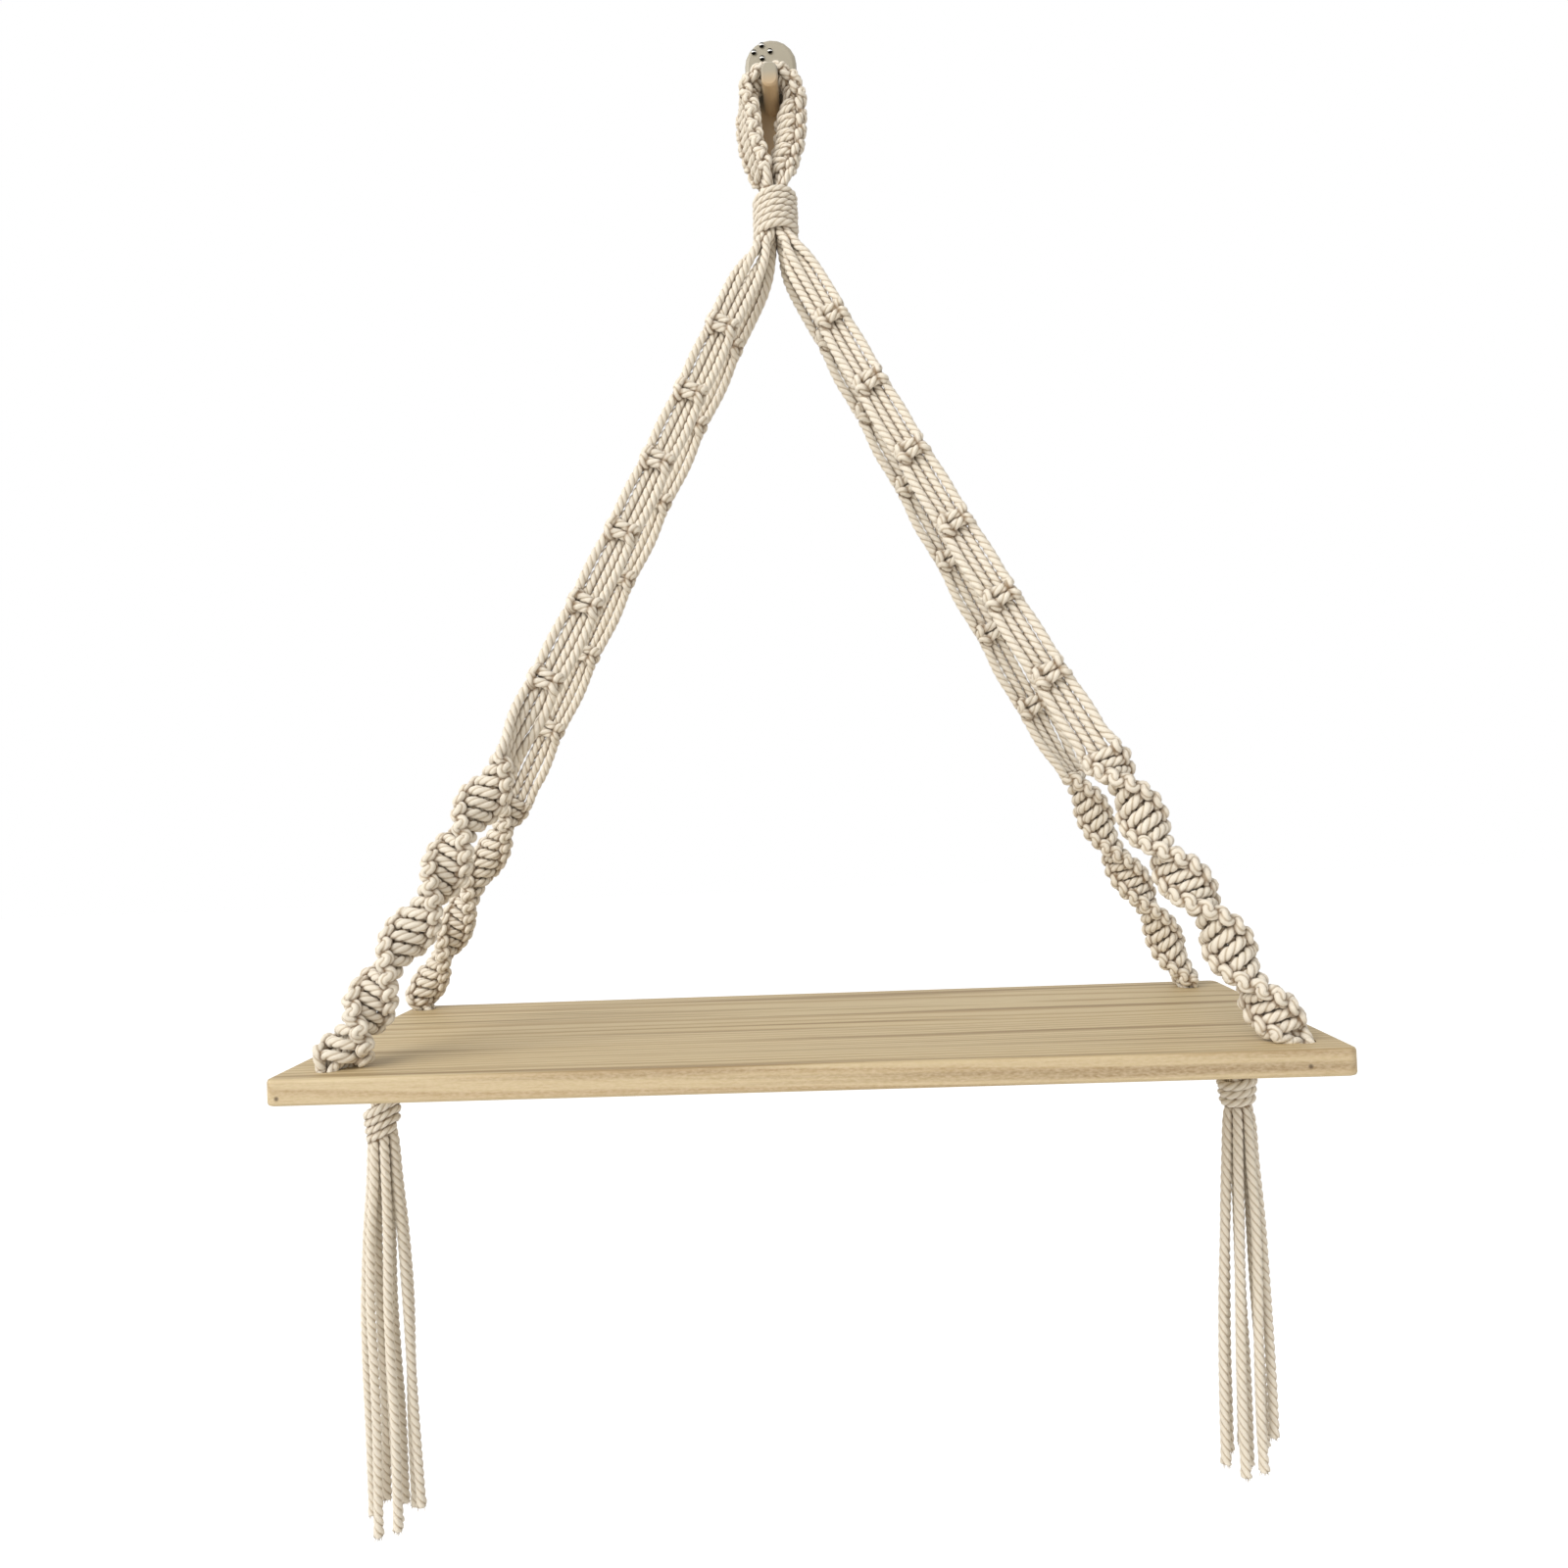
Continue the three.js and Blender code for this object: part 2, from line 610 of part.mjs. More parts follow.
// The spiral: the four cords' outline turning half a turn from bulge to bulge
function makeSpiral(strap, group) {
  const foot = group.worldToLocal(new THREE.Vector3(holeX(strap), holeY(strap), boardTop + bundleRise + gap));
  const begin = spiralStart(strap) + gap;
  const end = foot.z - spiralEnd;
  const steps = Math.ceil((5 * (end - begin)) / strap.halfTurn);
  const halfWidth = spiralWidth[strap.row] / 2;
  const halfThick = spiralThick[strap.row] / 2;
  const rings = Array.from({ length: steps + 1 }, (_, i) => {
    const s = begin + ((end - begin) * i) / steps;
    const size = i === 0 ? spiralStartShare : 1;
    const turn = twistAt(strap, s);
    return ring(strapFrame(strap, group, s).centre, onStrap(0, 1, 0, turn), onStrap(0, 0, 1, turn),
      size * halfWidth, size * halfThick, coarse);
  });
  rings.push(...spiralFoot(foot, group, rings.at(-1)));
  addPiece(`${strap.name}_spiral`, skin(rings), 'cotton', group);
}

const footShare = 0.4; // of the way up from the hole, a ring half drawn in

// The spiral's last rings draw in to the hole and lie level with the board
function spiralFoot(foot, group, above) {
  const up = new THREE.Vector3(0, 0, 1).applyQuaternion(group.quaternion.clone().invert());
  const centre = above.reduce((sum, p) => sum.add(p), new THREE.Vector3()).divideScalar(above.length);
  const level = above.map((p) => {
    const out = p.clone().sub(centre);
    out.z = -(out.x * up.x + out.y * up.y) / up.z;
    return foot.clone().add(out.setLength(holeDiameter / 2 - gap));
  });
  const between = level.map((p, i) => p.clone().lerp(above[i], footShare));
  return [between, level];
}

// The four cords through a hole
function makeHoleBundle(strap) {
  const height = bundleRise + boardThick;
  const bundle = new THREE.CylinderGeometry(holeDiameter / 2 - gap, holeDiameter / 2 - gap, height, medium)
    .rotateX(Math.PI / 2)
    .translate(holeX(strap), holeY(strap), boardUnder + height / 2);
  addPiece(`${strap.name}_hole_cords`, bundle, 'cotton');
}

// The cords under the board lie along the line between an end's two holes, and turn down at its middle
const bundleRadius = bundleDiameter / 2;
const gatherTop = boardUnder - gatherDepth;

function gatherPlace(side) {
  const [front, back] = straps.filter((strap) => strap.side === side);
  const aside = side * (side < 0 ? gatherAside.left : gatherAside.right);
  return new THREE.Vector3((holeX(front) + holeX(back)) / 2 + aside, (holeY(front) + holeY(back)) / 2, gatherTop);
}

function makeUnderBundle(strap) {
  const level = boardUnder - gap - bundleRadius;
  const middle = gatherPlace(strap.side);
  const hole = new THREE.Vector3(holeX(strap), holeY(strap), level);
  const outward = hole.clone().sub(middle).setZ(0).normalize();
  const turn = middle.clone().addScaledVector(outward, bundleRadius + gap / 2).setZ(level);
  const meets = turn.clone().setZ(gatherTop + gap);
  const curve = new THREE.QuadraticBezierCurve3(
    hole.addScaledVector(outward, bundleRadius), turn, meets.clone().setZ(gatherTop + gap + straightEnd));
  const points = [0, 0.25, 0.5, 0.7, 0.85, 1].map((share) => curve.getPoint(share));
  addPiece(`${strap.name}_under_cords`, cordAlong([...points, meets], bundleRadius, coarse), 'cotton');
}

// A gathering knot at each end of the board
function makeGather(name, side) {
  const core = gatherCore / 2;
  const shoulder = bundleDiameter + gap;
  const outline = [
    ...domeArc(gatherDome, gatherDome - gatherLength, core, 4),
    [core, -gatherShoulder - gatherTaper],
    [shoulder, -gatherShoulder],
    [shoulder, 0],
    [0, 0],
  ];
  const group = new THREE.Group();
  group.position.copy(gatherPlace(side));
  makeWinding([`${name}_knot_core`, `${name}_knot_winding`], turned(outline, medium), gatherCore, gatherCord,
    gatherPitch, gatherTurns, -gatherShoulder - gatherTaper - gap - gatherCord / 2, medium, group);
  shelf.add(group);
}

// The tassels' routes, chosen by hand: [x, y] from the knot's middle line at each level below it,
// the last of them at the cord's cut end
const tasselLevels = [0, -16, -40, -68, -96, -122];
const tasselRoutes = {
  left: [
    [[0, 0], [0.3, 0.2], [0.8, 0.6], [0.2, 0.8], [-0.6, 0.4], [0, 0.2], [0.9, 0.4]],
    [[0, 4.9], [0.2, 5.6], [-0.6, 6.8], [-1.2, 7.4], [-0.4, 7.6], [0.6, 7.9], [0.8, 8.3]],
    [[-3.83, 3.06], [-4.5, 3.8], [-6, 4.8], [-6.6, 5.6], [-6.2, 6], [-5.8, 6.2], [-6.6, 6]],
    [[-4.78, -1.09], [-5.8, -1.3], [-8.2, -1.2], [-10.2, -0.8], [-10.6, -0.6], [-10, -1], [-9.6, -1.2]],
    [[-2.13, -4.41], [-2.8, -5.2], [-4.6, -6.2], [-5.2, -7], [-4.4, -7.4], [-4.2, -7.2], [-5, -7]],
    [[2.13, -4.41], [2.6, -5.1], [3, -6.2], [2.6, -7.2], [3.4, -7.8], [4.2, -7.8], [4, -7.9]],
    [[4.78, -1.09], [5.8, -1.4], [7.6, -1.8], [9, -2.2], [10, -2.4], [11, -2.6], [12.6, -2.8]],
    [[3.83, 3.06], [4.6, 3.7], [6.2, 4.6], [7.4, 4.8], [7.2, 4.6], [6.8, 4.4], [7.2, 4.4]],
  ],
  right: [
    [[0, 0], [-0.6, 0.3], [-1.6, 0.2], [-2.5, -0.3], [-2.2, -0.5], [-2.1, -0.2], [-2.5, 0]],
    [[0, 4.9], [-0.3, 5.5], [-0.2, 6.4], [-0.4, 7], [-1.2, 7.2], [-1.9, 7.4], [-2.3, 7.6]],
    [[-3.83, 3.06], [-4.8, 3.7], [-6.2, 4.4], [-7.2, 4.9], [-8.2, 5], [-8.7, 4.8], [-9.1, 4.6]],
    [[-4.78, -1.09], [-6.1, -1.3], [-8, -1.2], [-10.2, -1.6], [-11.6, -1.8], [-12.3, -1.6], [-12.5, -1.4]],
    [[-2.13, -4.41], [-3, -5.2], [-4, -6.2], [-5.4, -7.2], [-6.4, -7.4], [-6.7, -7.2], [-6.5, -7.4]],
    [[2.13, -4.41], [2.3, -5.1], [2.9, -6], [2, -7], [1, -7.4], [0.7, -7.2], [1.1, -7]],
    [[4.78, -1.09], [5.2, -1.4], [6.4, -1.7], [7.2, -1.6], [7.8, -1.4], [7.9, -1.6], [7.5, -1.8]],
    [[3.83, 3.06], [4.1, 3.6], [4.4, 4.4], [5, 5.2], [5.8, 5.2], [6.3, 4.8], [6.1, 4.6]],
  ],
};
// How far each cut end hangs below the top of its cord
const tasselEnds = {
  left: [165, 161, 158, 160, 166, 163, 156, 160],
  right: [142, 138, 139, 141, 143, 141, 130, 137],
};

function makeTassel(name, side) {
  const place = gatherPlace(side);
  place.z -= gatherLength + tasselGap;
  const routes = tasselRoutes[name];
  routes.forEach((route, i) => {
    const levels = [...tasselLevels, -tasselEnds[name][i]];
    const points = route.map(([x, y], k) => new THREE.Vector3(x, y, levels[k]));
    const curve = new THREE.CatmullRomCurve3(points, false, 'centripetal');
    const section = new THREE.Shape().absarc(0, 0, tasselCord / 2, 0, 2 * Math.PI);
    const steps = Math.round(curve.getLength() / (3 * tasselCord));
    const cord = new THREE.ExtrudeGeometry(section, { steps, extrudePath: curve, curveSegments: 4 })
      .translate(...place.toArray());
    addPiece(`${name}_tassel_cord_${i + 1}`, cord, 'cotton');
  });
}

makeBoard();
makeHook();
makeNails();
makeLoop();
makeTopWrap();
for (const strap of straps) {
  const group = strapGroup(strap);
  makeStrapCords(strap, group);
  makeSpiral(strap, group);
  makeHoleBundle(strap);
  makeUnderBundle(strap);
}
makeGather('left', -1);
makeGather('right', 1);
makeTassel('left', -1);
makeTassel('right', 1);

export default shelf;
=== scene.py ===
# %% [markdown]
# # A hanging rope shelf in Blender
# The shelf is a pine board that hangs from one wall hook by knotted cotton rope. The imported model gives
# the frame: where the board, the hook and every rope lie. This lesson keeps the board and the hook, and
# replaces each plain rope solid by real cords that are laid, knotted and cut as on the shelf.

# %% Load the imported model
import math
import random
from functools import partial

import bmesh
import bpy
import numpy as np
from mathutils import Matrix, Vector
from mathutils.kdtree import KDTree


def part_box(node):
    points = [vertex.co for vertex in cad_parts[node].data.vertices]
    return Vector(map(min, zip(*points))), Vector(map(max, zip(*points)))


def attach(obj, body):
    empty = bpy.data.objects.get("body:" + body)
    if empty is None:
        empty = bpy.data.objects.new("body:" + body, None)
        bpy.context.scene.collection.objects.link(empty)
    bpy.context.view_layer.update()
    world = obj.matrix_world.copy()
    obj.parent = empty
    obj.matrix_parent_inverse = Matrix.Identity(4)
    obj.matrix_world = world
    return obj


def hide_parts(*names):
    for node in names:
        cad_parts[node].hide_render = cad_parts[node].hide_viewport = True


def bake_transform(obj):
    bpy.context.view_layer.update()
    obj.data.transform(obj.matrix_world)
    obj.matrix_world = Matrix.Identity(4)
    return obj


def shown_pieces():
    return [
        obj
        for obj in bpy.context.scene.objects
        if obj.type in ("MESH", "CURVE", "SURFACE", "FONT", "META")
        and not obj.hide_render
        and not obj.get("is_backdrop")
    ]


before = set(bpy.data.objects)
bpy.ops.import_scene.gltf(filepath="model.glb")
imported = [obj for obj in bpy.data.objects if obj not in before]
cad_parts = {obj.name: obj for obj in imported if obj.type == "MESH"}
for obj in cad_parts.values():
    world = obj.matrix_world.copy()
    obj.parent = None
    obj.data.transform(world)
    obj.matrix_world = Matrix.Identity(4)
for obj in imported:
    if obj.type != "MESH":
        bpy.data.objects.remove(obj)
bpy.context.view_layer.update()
random.seed(7)
MM = 0.001

# %% [markdown]
# ## The camera
# The photograph was taken from a little below the middle of the ropes, close to the shelf, with the
# camera slightly rolled. The edges and corners of the board give its place, its turn and its lens.

# %% Camera
CAMERA_AT = Vector((0.0175, -0.553, -0.356))
CAMERA_RIGHT = Vector((0.99805, 0.04726, -0.04067))
CAMERA_UP = Vector((0.04148, -0.01639, 0.99900))
FOCAL_SHARE = 1120 / 1600  # focal length over picture width
SENSOR_WIDTH = 36  # mm


def in_scene(name, data):
    """A new object of some data, linked to the scene"""
    thing = bpy.data.objects.new(name, data)
    bpy.context.scene.collection.objects.link(thing)
    return thing


lens = bpy.data.cameras.new("camera")
lens.sensor_width = SENSOR_WIDTH
lens.lens = SENSOR_WIDTH * FOCAL_SHARE
lens.clip_start, lens.clip_end = 0.01, 20
camera = in_scene("camera", lens)
turn = Matrix((CAMERA_RIGHT, CAMERA_UP, CAMERA_RIGHT.cross(CAMERA_UP))).transposed().to_4x4()
camera.matrix_world = Matrix.Translation(CAMERA_AT) @ turn
bpy.context.scene.camera = camera
print("lens", round(lens.lens, 1), "mm")

# %% [markdown]
# ## Colours and nodes
# Colours are written as the hex values a paint program shows, so one function turns them to the linear
# values that Blender counts in. A second small function adds a node, sets it and links it. The type name
# of every node here starts with ShaderNode, so the function puts that before the name it is given. Each
# new material comes with this function, as add, made ready for its own nodes.

# %% Helpers for materials


def linear(hex_colour):
    """An sRGB hex value as linear RGBA"""
    channels = [int(hex_colour[i:i + 2], 16) / 255 for i in (0, 2, 4)]
    return [c / 12.92 if c <= 0.04045 else ((c + 0.055) / 1.055) ** 2.4 for c in channels] + [1]


def add_node(tree, kind, inputs=(), **settings):
    """A node with its settings. Its inputs are listed in their order or named, and each is a value, a
    socket, or a node whose first output is meant."""
    node = tree.nodes.new("ShaderNode" + kind)
    for key, value in settings.items():
        setattr(node, key, value)
    for key, value in inputs.items() if isinstance(inputs, dict) else enumerate(inputs):
        if isinstance(value, bpy.types.Node):
            value = value.outputs[0]
        if isinstance(value, bpy.types.NodeSocket):
            tree.links.new(value, node.inputs[key])
        else:
            node.inputs[key].default_value = value
    return node


def new_material(name):
    """An empty material, and the function that adds its nodes"""
    material = bpy.data.materials.new(name)
    material.use_nodes = True
    material.node_tree.nodes.clear()
    return material, partial(add_node, material.node_tree)


# %% [markdown]
# ## Natural cotton cord
# The cord is three-ply twisted cotton, 4 mm thick and undyed. Its fibres scatter light, so it is quite rough
# with a soft sheen. Each ply is a soft roving with fine fibres along it. The grooves between plies are
# painted darker, for the dust and the shade in them, and painted shade darkens the places where cords press
# together. The cords carry a UV map that counts millimetres along the cord and plies around it, so the
# pattern follows every bend.

# %% Cotton


def make_cotton():
    material, add = new_material("natural_three_ply_cotton")
    place = add("UVMap", uv_map="along_and_around")
    parts = add("SeparateXYZ", [place])
    ply = add("Math", [parts.outputs[1], 1.0], operation="PINGPONG")
    around = add("Math", [parts.outputs[1], 4.2], operation="MULTIPLY")
    lean = add("Math", [parts, 0.5, around], operation="MULTIPLY_ADD")
    fibre_place = add("CombineXYZ", [parts, lean])
    # fibres about 0.2 mm wide and 4 mm long, which is as coarse as they must be to show
    stretched = add("Mapping", {"Vector": fibre_place, "Scale": (0.25, 3.0, 1)})
    fibre = add("TexNoise", {"Vector": stretched, "Scale": 1.0, "Detail": 3.0, "Roughness": 0.6},
                noise_dimensions="2D")
    where = add("TexCoord").outputs["Object"]
    patch = add("TexNoise", {"Vector": where, "Scale": 45.0, "Detail": 2.0})
    colour = add("MixRGB", [patch, linear("F9F3E9"), linear("F2EBDD")])
    streak = add("MapRange", [fibre, 0.38, 0.72, 0.0, 0.36])
    # painted shade and dust: darker towards the grooves between plies
    groove = add("MapRange", [ply, 0.6, 1.0, 0.0, 0.66])
    # painted shade from the attribute: darker where cords press together and at the back of the loop's eye
    pressed = add("Attribute", attribute_name="pressed")
    depth = add("Math", [pressed.outputs["Fac"], 0.85], operation="MULTIPLY")
    for share, shade in (streak, "DBD0BC"), (groove, "AC9470"), (depth, "80623C"):
        colour = add("MixRGB", [share, colour, linear(shade)])
    bump = add("Bump", {"Height": fibre, "Strength": 0.6, "Distance": 0.0004})
    skin = add("BsdfPrincipled", {"Base Color": colour, "Roughness": 0.92, "Sheen Weight": 0.25,
                                  "Sheen Roughness": 0.5, "Normal": bump})
    add("OutputMaterial", [skin])
    return material


cotton = make_cotton()

# %% [markdown]
# ## Laying a cord
# A three-ply cord has a section like a clover leaf that turns as it runs. A Blender curve sweeps a
# section object along a line, and the tilt of its points turns the section, so a curve lays a cord the
# way a rope walk does. The swept curve then becomes a mesh, which gets its own UV map.

# %% The clover-leaf section of the cord
PLIES = 3
PLY_OUTLINE = [(0, 1.0), (32, 0.93), (60, 0.7), (88, 0.93)]  # degrees past a ply's crest, radius
SECTION_POINTS = PLIES * len(PLY_OUTLINE)
LAY = 12  # mm in which a ply goes once round the cord
STRAP_CORD, TASSEL_CORD, WRAP_CORD, LOOP_CORD = 4.35, 4.25, 4.0, 4.0  # slack cotton swells over its 4 mm


def make_section():
    """Three touching plies, on a radius of 1 mm"""
    curve = bpy.data.curves.new("cord_section", "CURVE")
    spline = curve.splines.new("POLY")
    spline.points.add(SECTION_POINTS - 1)
    spline.use_cyclic_u = True
    for i in range(SECTION_POINTS):
        ply, step = divmod(i, len(PLY_OUTLINE))
        degrees, radius = PLY_OUTLINE[step]
        angle = math.radians(360 / PLIES * ply + degrees)
        spline.points[i].co = (MM * radius * math.cos(angle), MM * radius * math.sin(angle), 0, 1)
    return in_scene("cord_section", curve)


cord_section = make_section()

# %% Smooth lines through chosen points
FINE_STEPS = 8  # from one given point to the next


def smooth_line(points, step):
    """Points an even step apart on the Catmull-Rom curve through the given ones"""
    p = np.asarray(points, float)
    p = np.vstack([2 * p[0] - p[1], p, 2 * p[-1] - p[-2]])
    rows = []
    for a, b, c, d in zip(p, p[1:], p[2:], p[3:]):
        t = np.arange(FINE_STEPS)[:, None] / FINE_STEPS
        rows.append(0.5 * (2 * b + (c - a) * t + (2 * a - 5 * b + 4 * c - d) * t ** 2
                           + (3 * b - a - 3 * c + d) * t ** 3))
    rows.append(p[-2][None])
    line = np.vstack(rows)
    far = np.concatenate([[0], np.cumsum(np.linalg.norm(np.diff(line, axis=0), axis=1))])
    even = np.linspace(0, far[-1], max(2, round(far[-1] / step) + 1))
    return np.stack([np.interp(even, far, line[:, k]) for k in range(3)], 1), even


# %% Sweep the section along a line
laid_cords = []


def swept_mesh(curve):
    """The mesh that a curve with its section makes. The curve itself is removed."""
    carrier = in_scene("carrier", curve)
    bpy.context.view_layer.update()
    mesh = bpy.data.meshes.new_from_object(carrier.evaluated_get(bpy.context.evaluated_depsgraph_get()))
    bpy.data.objects.remove(carrier)
    bpy.data.curves.remove(curve)
    return mesh


def lay_cord(points, diameter, step=0.85, phase=0.0, swell=None):
    """A mesh of the cord along points in mm, with its even line and the distance along it"""
    line, far = smooth_line(points, step)
    curve = bpy.data.curves.new("cord", "CURVE")
    curve.dimensions = "3D"
    curve.bevel_mode = "OBJECT"
    curve.bevel_object = cord_section
    curve.twist_mode = "MINIMUM"
    spline = curve.splines.new("POLY")
    spline.points.add(len(line) - 1)
    spline.points.foreach_set("co", np.hstack([line * MM, np.ones((len(line), 1))]).ravel())
    spline.points.foreach_set("tilt", phase - 2 * math.pi * far / LAY)
    width = np.full(len(line), diameter / 2) if swell is None else diameter / 2 * swell(far, far[-1])
    spline.points.foreach_set("radius", width)
    mesh = swept_mesh(curve)
    assert len(mesh.vertices) == len(line) * SECTION_POINTS
    cord = {"mesh": mesh, "line": line, "far": far, "number": len(laid_cords), "radius": diameter / 2}
    laid_cords.append(cord)
    return cord


def metres_laid():
    return round(sum(cord["far"][-1] for cord in laid_cords) / 1000, 1)


# %% Cut a length out of a laid cord


def map_cord(part, far):
    """The UV map: millimetres along the cord, plies around it"""
    layer = part.loops.layers.uv.new("along_and_around")
    for face in part.faces:
        seam = {v.index % SECTION_POINTS for v in face.verts} == {0, SECTION_POINTS - 1}
        for loop in face.loops:
            ring, place = divmod(loop.vert.index, SECTION_POINTS)
            if seam and place == 0:
                place = SECTION_POINTS
            # 2 to a ply, so that a full ply runs from crest to groove and back
            loop[layer].uv = (far[ring], 2 * PLIES * place / SECTION_POINTS)


def cut_length(cord, first, last):
    """Bmesh of the cord from one ring to another, closed at both ends"""
    part = bmesh.new()
    part.from_mesh(cord["mesh"])
    for layer in list(part.loops.layers.uv.values()):
        part.loops.layers.uv.remove(layer)
    part.verts.ensure_lookup_table()
    map_cord(part, cord["far"])
    which, along = part.verts.layers.int.new("cord"), part.verts.layers.float.new("along")
    for vert in part.verts:
        vert[which], vert[along] = cord["number"], cord["far"][vert.index // SECTION_POINTS]
    beyond = [v for v in part.verts if not first <= v.index // SECTION_POINTS <= last]
    bmesh.ops.delete(part, geom=beyond, context="VERTS")
    bmesh.ops.holes_fill(part, edges=[e for e in part.edges if e.is_boundary], sides=0)
    bmesh.ops.recalc_face_normals(part, faces=part.faces)
    return part


# %% Make a piece of one or more lengths


def finish_piece(name, whole, body, replaced, material=cotton):
    """An object at the origin from a bmesh, riding on a body and standing for CAD nodes"""
    mesh = bpy.data.meshes.new(name)
    whole.to_mesh(mesh)
    whole.free()
    for face in mesh.polygons:
        face.use_smooth = True
    mesh.materials.append(material)
    piece = in_scene(name, mesh)
    if body:
        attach(piece, body)
    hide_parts(*replaced)
    return piece


rope_pieces = []


def rope_piece(name, lengths, body, replaced):
    """A piece from (cord, first ring, last ring) lengths"""
    whole = bmesh.new()
    for cord, first, last in lengths:
        part = cut_length(cord, first, last)
        spare = bpy.data.meshes.new("length")
        part.to_mesh(spare)
        part.free()
        whole.from_mesh(spare)
        bpy.data.meshes.remove(spare)
    piece = finish_piece(name, whole, body, replaced)
    rope_pieces.append(piece)
    return piece


def whole_cord(cord):
    return (cord, 0, len(cord["line"]) - 1)


# %% [markdown]
# ## Where the straps run
# Each strap is a band of four cords. It leaves the wrap under the loop as a small square of cords, opens
# into a flat band, and runs in a slight sag to a hole near a corner of the board. All of its knots are
# tied in the strap's own space: x across the band, y towards the room and s down the strap.

# %% Main places, in mm
BOARD_TOP, BOARD_UNDER = -451, -461
LOOP_OUT = -16.5  # where the loop's middle hangs on the peg
LEAN, LEAN_FROM = 0.16, -5.5  # the loop and the wrap lean out by this share, from this height down
LOOP_TOP, LOOP_DROP = 2.8, 62.5
LOOP_BOTTOM = LOOP_TOP - LOOP_DROP
WRAP_TOP, WRAP_HEIGHT = LOOP_BOTTOM - 0.45, 24.4
FLARE = 5.5  # from the wrap's lower end to the straps' tops
ROW_DEPTH = 4.6  # front straps leave the wrap this far before its middle, back straps as far behind it
FRONT_ASIDE, BACK_ASIDE = 6.8, 4.8  # and this far to the side
SPREAD = 40  # length over which a strap opens into a flat band
CORD_PITCH = 4.1  # from cord to cord side by side
KNOTS, OPEN_BEFORE_SPIRAL = 6, 38
FREE_OF_KNOT = 4.5  # from a square knot's middle to where the band may turn
BEADS_BEFORE_LAST = 3  # half turns from bulge to the last, tighter one


def lean_at(z):
    """How far out the middle of the loop and the wrap lies at a height"""
    return LOOP_OUT - LEAN * max(0, LEAN_FROM - z)


def from_lean(x, y, z):
    """A place given from the top of the wrap, with z along it"""
    cosine, sine = math.cos(math.atan(LEAN)), -math.sin(math.atan(LEAN))
    return np.array([x, lean_at(WRAP_TOP) + cosine * y - sine * z, WRAP_TOP + sine * y + cosine * z])


# %% The four straps
# start and end are how far aside of the wrap's middle and of the hole the strap's line runs, knot is the
# first square knot's place and pitch the way to the next, bulge is where a bead of the spiral is widest
# and half is the length of half a turn
STRAPS = {
    "front_left": dict(side=-1, front=True, hole=(-181.5, -137.5), start=7.8, end=-1.3, sag=4.6,
                       knot=49, pitch=37.9, bulge=293, half=30, last_half=24),
    "front_right": dict(side=1, front=True, hole=(185.5, -137.5), start=6.1, end=-3.2, sag=4.2,
                        knot=47, pitch=40.2, bulge=290, half=29.3),
    "back_left": dict(side=-1, front=False, hole=(-191.5, -11.5), start=4, end=4.8, sag=0.8,
                      knot=47, pitch=41.2, bulge=322, half=36),
    "back_right": dict(side=1, front=False, hole=(182, -17), start=5, end=2.1, sag=1.9,
                       knot=45, pitch=40.6, bulge=311, half=34),
}


def unit(v):
    return v / np.linalg.norm(v)


def square_to(ahead, way):
    """The part of a direction that is square to the way ahead"""
    return unit(way - ahead * (way @ ahead))


def ease(x):
    x = min(1, max(0, x))
    return x * x * (3 - 2 * x)


class StrapSpace:
    """Turns places on a strap into places in the room"""

    def __init__(self, side, front, hole, start, end, sag, knot, pitch, bulge, half, last_half=None):
        row, leaves = (-ROW_DEPTH, FRONT_ASIDE) if front else (ROW_DEPTH, BACK_ASIDE)
        self.side, self.front, self.hole, self.sag = side, front, np.array(hole, float), sag
        self.top = from_lean(side * start, row, -WRAP_HEIGHT - FLARE)
        foot = np.array([hole[0] + side * end, hole[1], BOARD_TOP])
        self.length = np.linalg.norm(foot - self.top)
        self.ahead = unit(foot - self.top)
        self.face = square_to(self.ahead, np.array([0, -1, 0]))
        self.across = np.cross(self.face, self.ahead)
        self.leaves = from_lean(side * leaves, row, -WRAP_HEIGHT - FLARE)
        self.knots = [knot + i * pitch for i in range(KNOTS)]
        self.flat_end = self.knots[-1] + FREE_OF_KNOT
        self.spiral = self.knots[-1] + OPEN_BEFORE_SPIRAL
        # the last half turn before the board may be tighter than the rest
        self.half, self.last_half = half, last_half or half
        self.tighter = bulge + BEADS_BEFORE_LAST * half if last_half else math.inf
        turns = (self.spiral - bulge) / half
        self.first_turn = math.pi * (turns - math.floor(turns + 0.25))
        self.down = square_to(self.ahead, np.array([0, 0, -1]))

    def on_line(self, s):
        """The sagging middle line"""
        share = s / self.length
        return self.top + self.ahead * s + self.down * 4 * self.sag * share * (1 - share)

    def middle(self, s):
        """Middle line, across and face, with the bend out of the wrap as a Bezier curve"""
        if s >= SPREAD:
            return self.on_line(s), self.across, self.face
        down = from_lean(0, 0, -1) - from_lean(0, 0, 0)
        p = [self.leaves, self.leaves + down * 4, self.on_line(0.35 * SPREAD), self.on_line(SPREAD)]
        t = s / SPREAD
        rest = 1 - t
        centre = rest ** 3 * p[0] + 3 * t * rest ** 2 * p[1] + 3 * t * t * rest * p[2] + t ** 3 * p[3]
        ahead = unit(3 * rest ** 2 * (p[1] - p[0]) + 6 * t * rest * (p[2] - p[1])
                     + 3 * t * t * (p[3] - p[2]))
        face = square_to(ahead, np.array([0, -1, 0]))
        return centre, np.cross(face, ahead), face

    def turn(self, s):
        """The band is flat down to the last square knot, then turns into the spiral"""
        if s < self.spiral:
            return -self.first_turn * min(1, max(0, (s - self.flat_end) / (self.spiral - 2 - self.flat_end)))
        turns = (min(s, self.tighter) - self.spiral) / self.half
        turns += max(0, s - self.tighter) / self.last_half
        return -(self.first_turn + math.pi * turns)

    def place(self, x, y, s):
        centre, across, face = self.middle(s)
        cosine, sine = math.cos(self.turn(s)), math.sin(self.turn(s))
        return centre + across * (x * cosine - y * sine) + face * (x * sine + y * cosine)


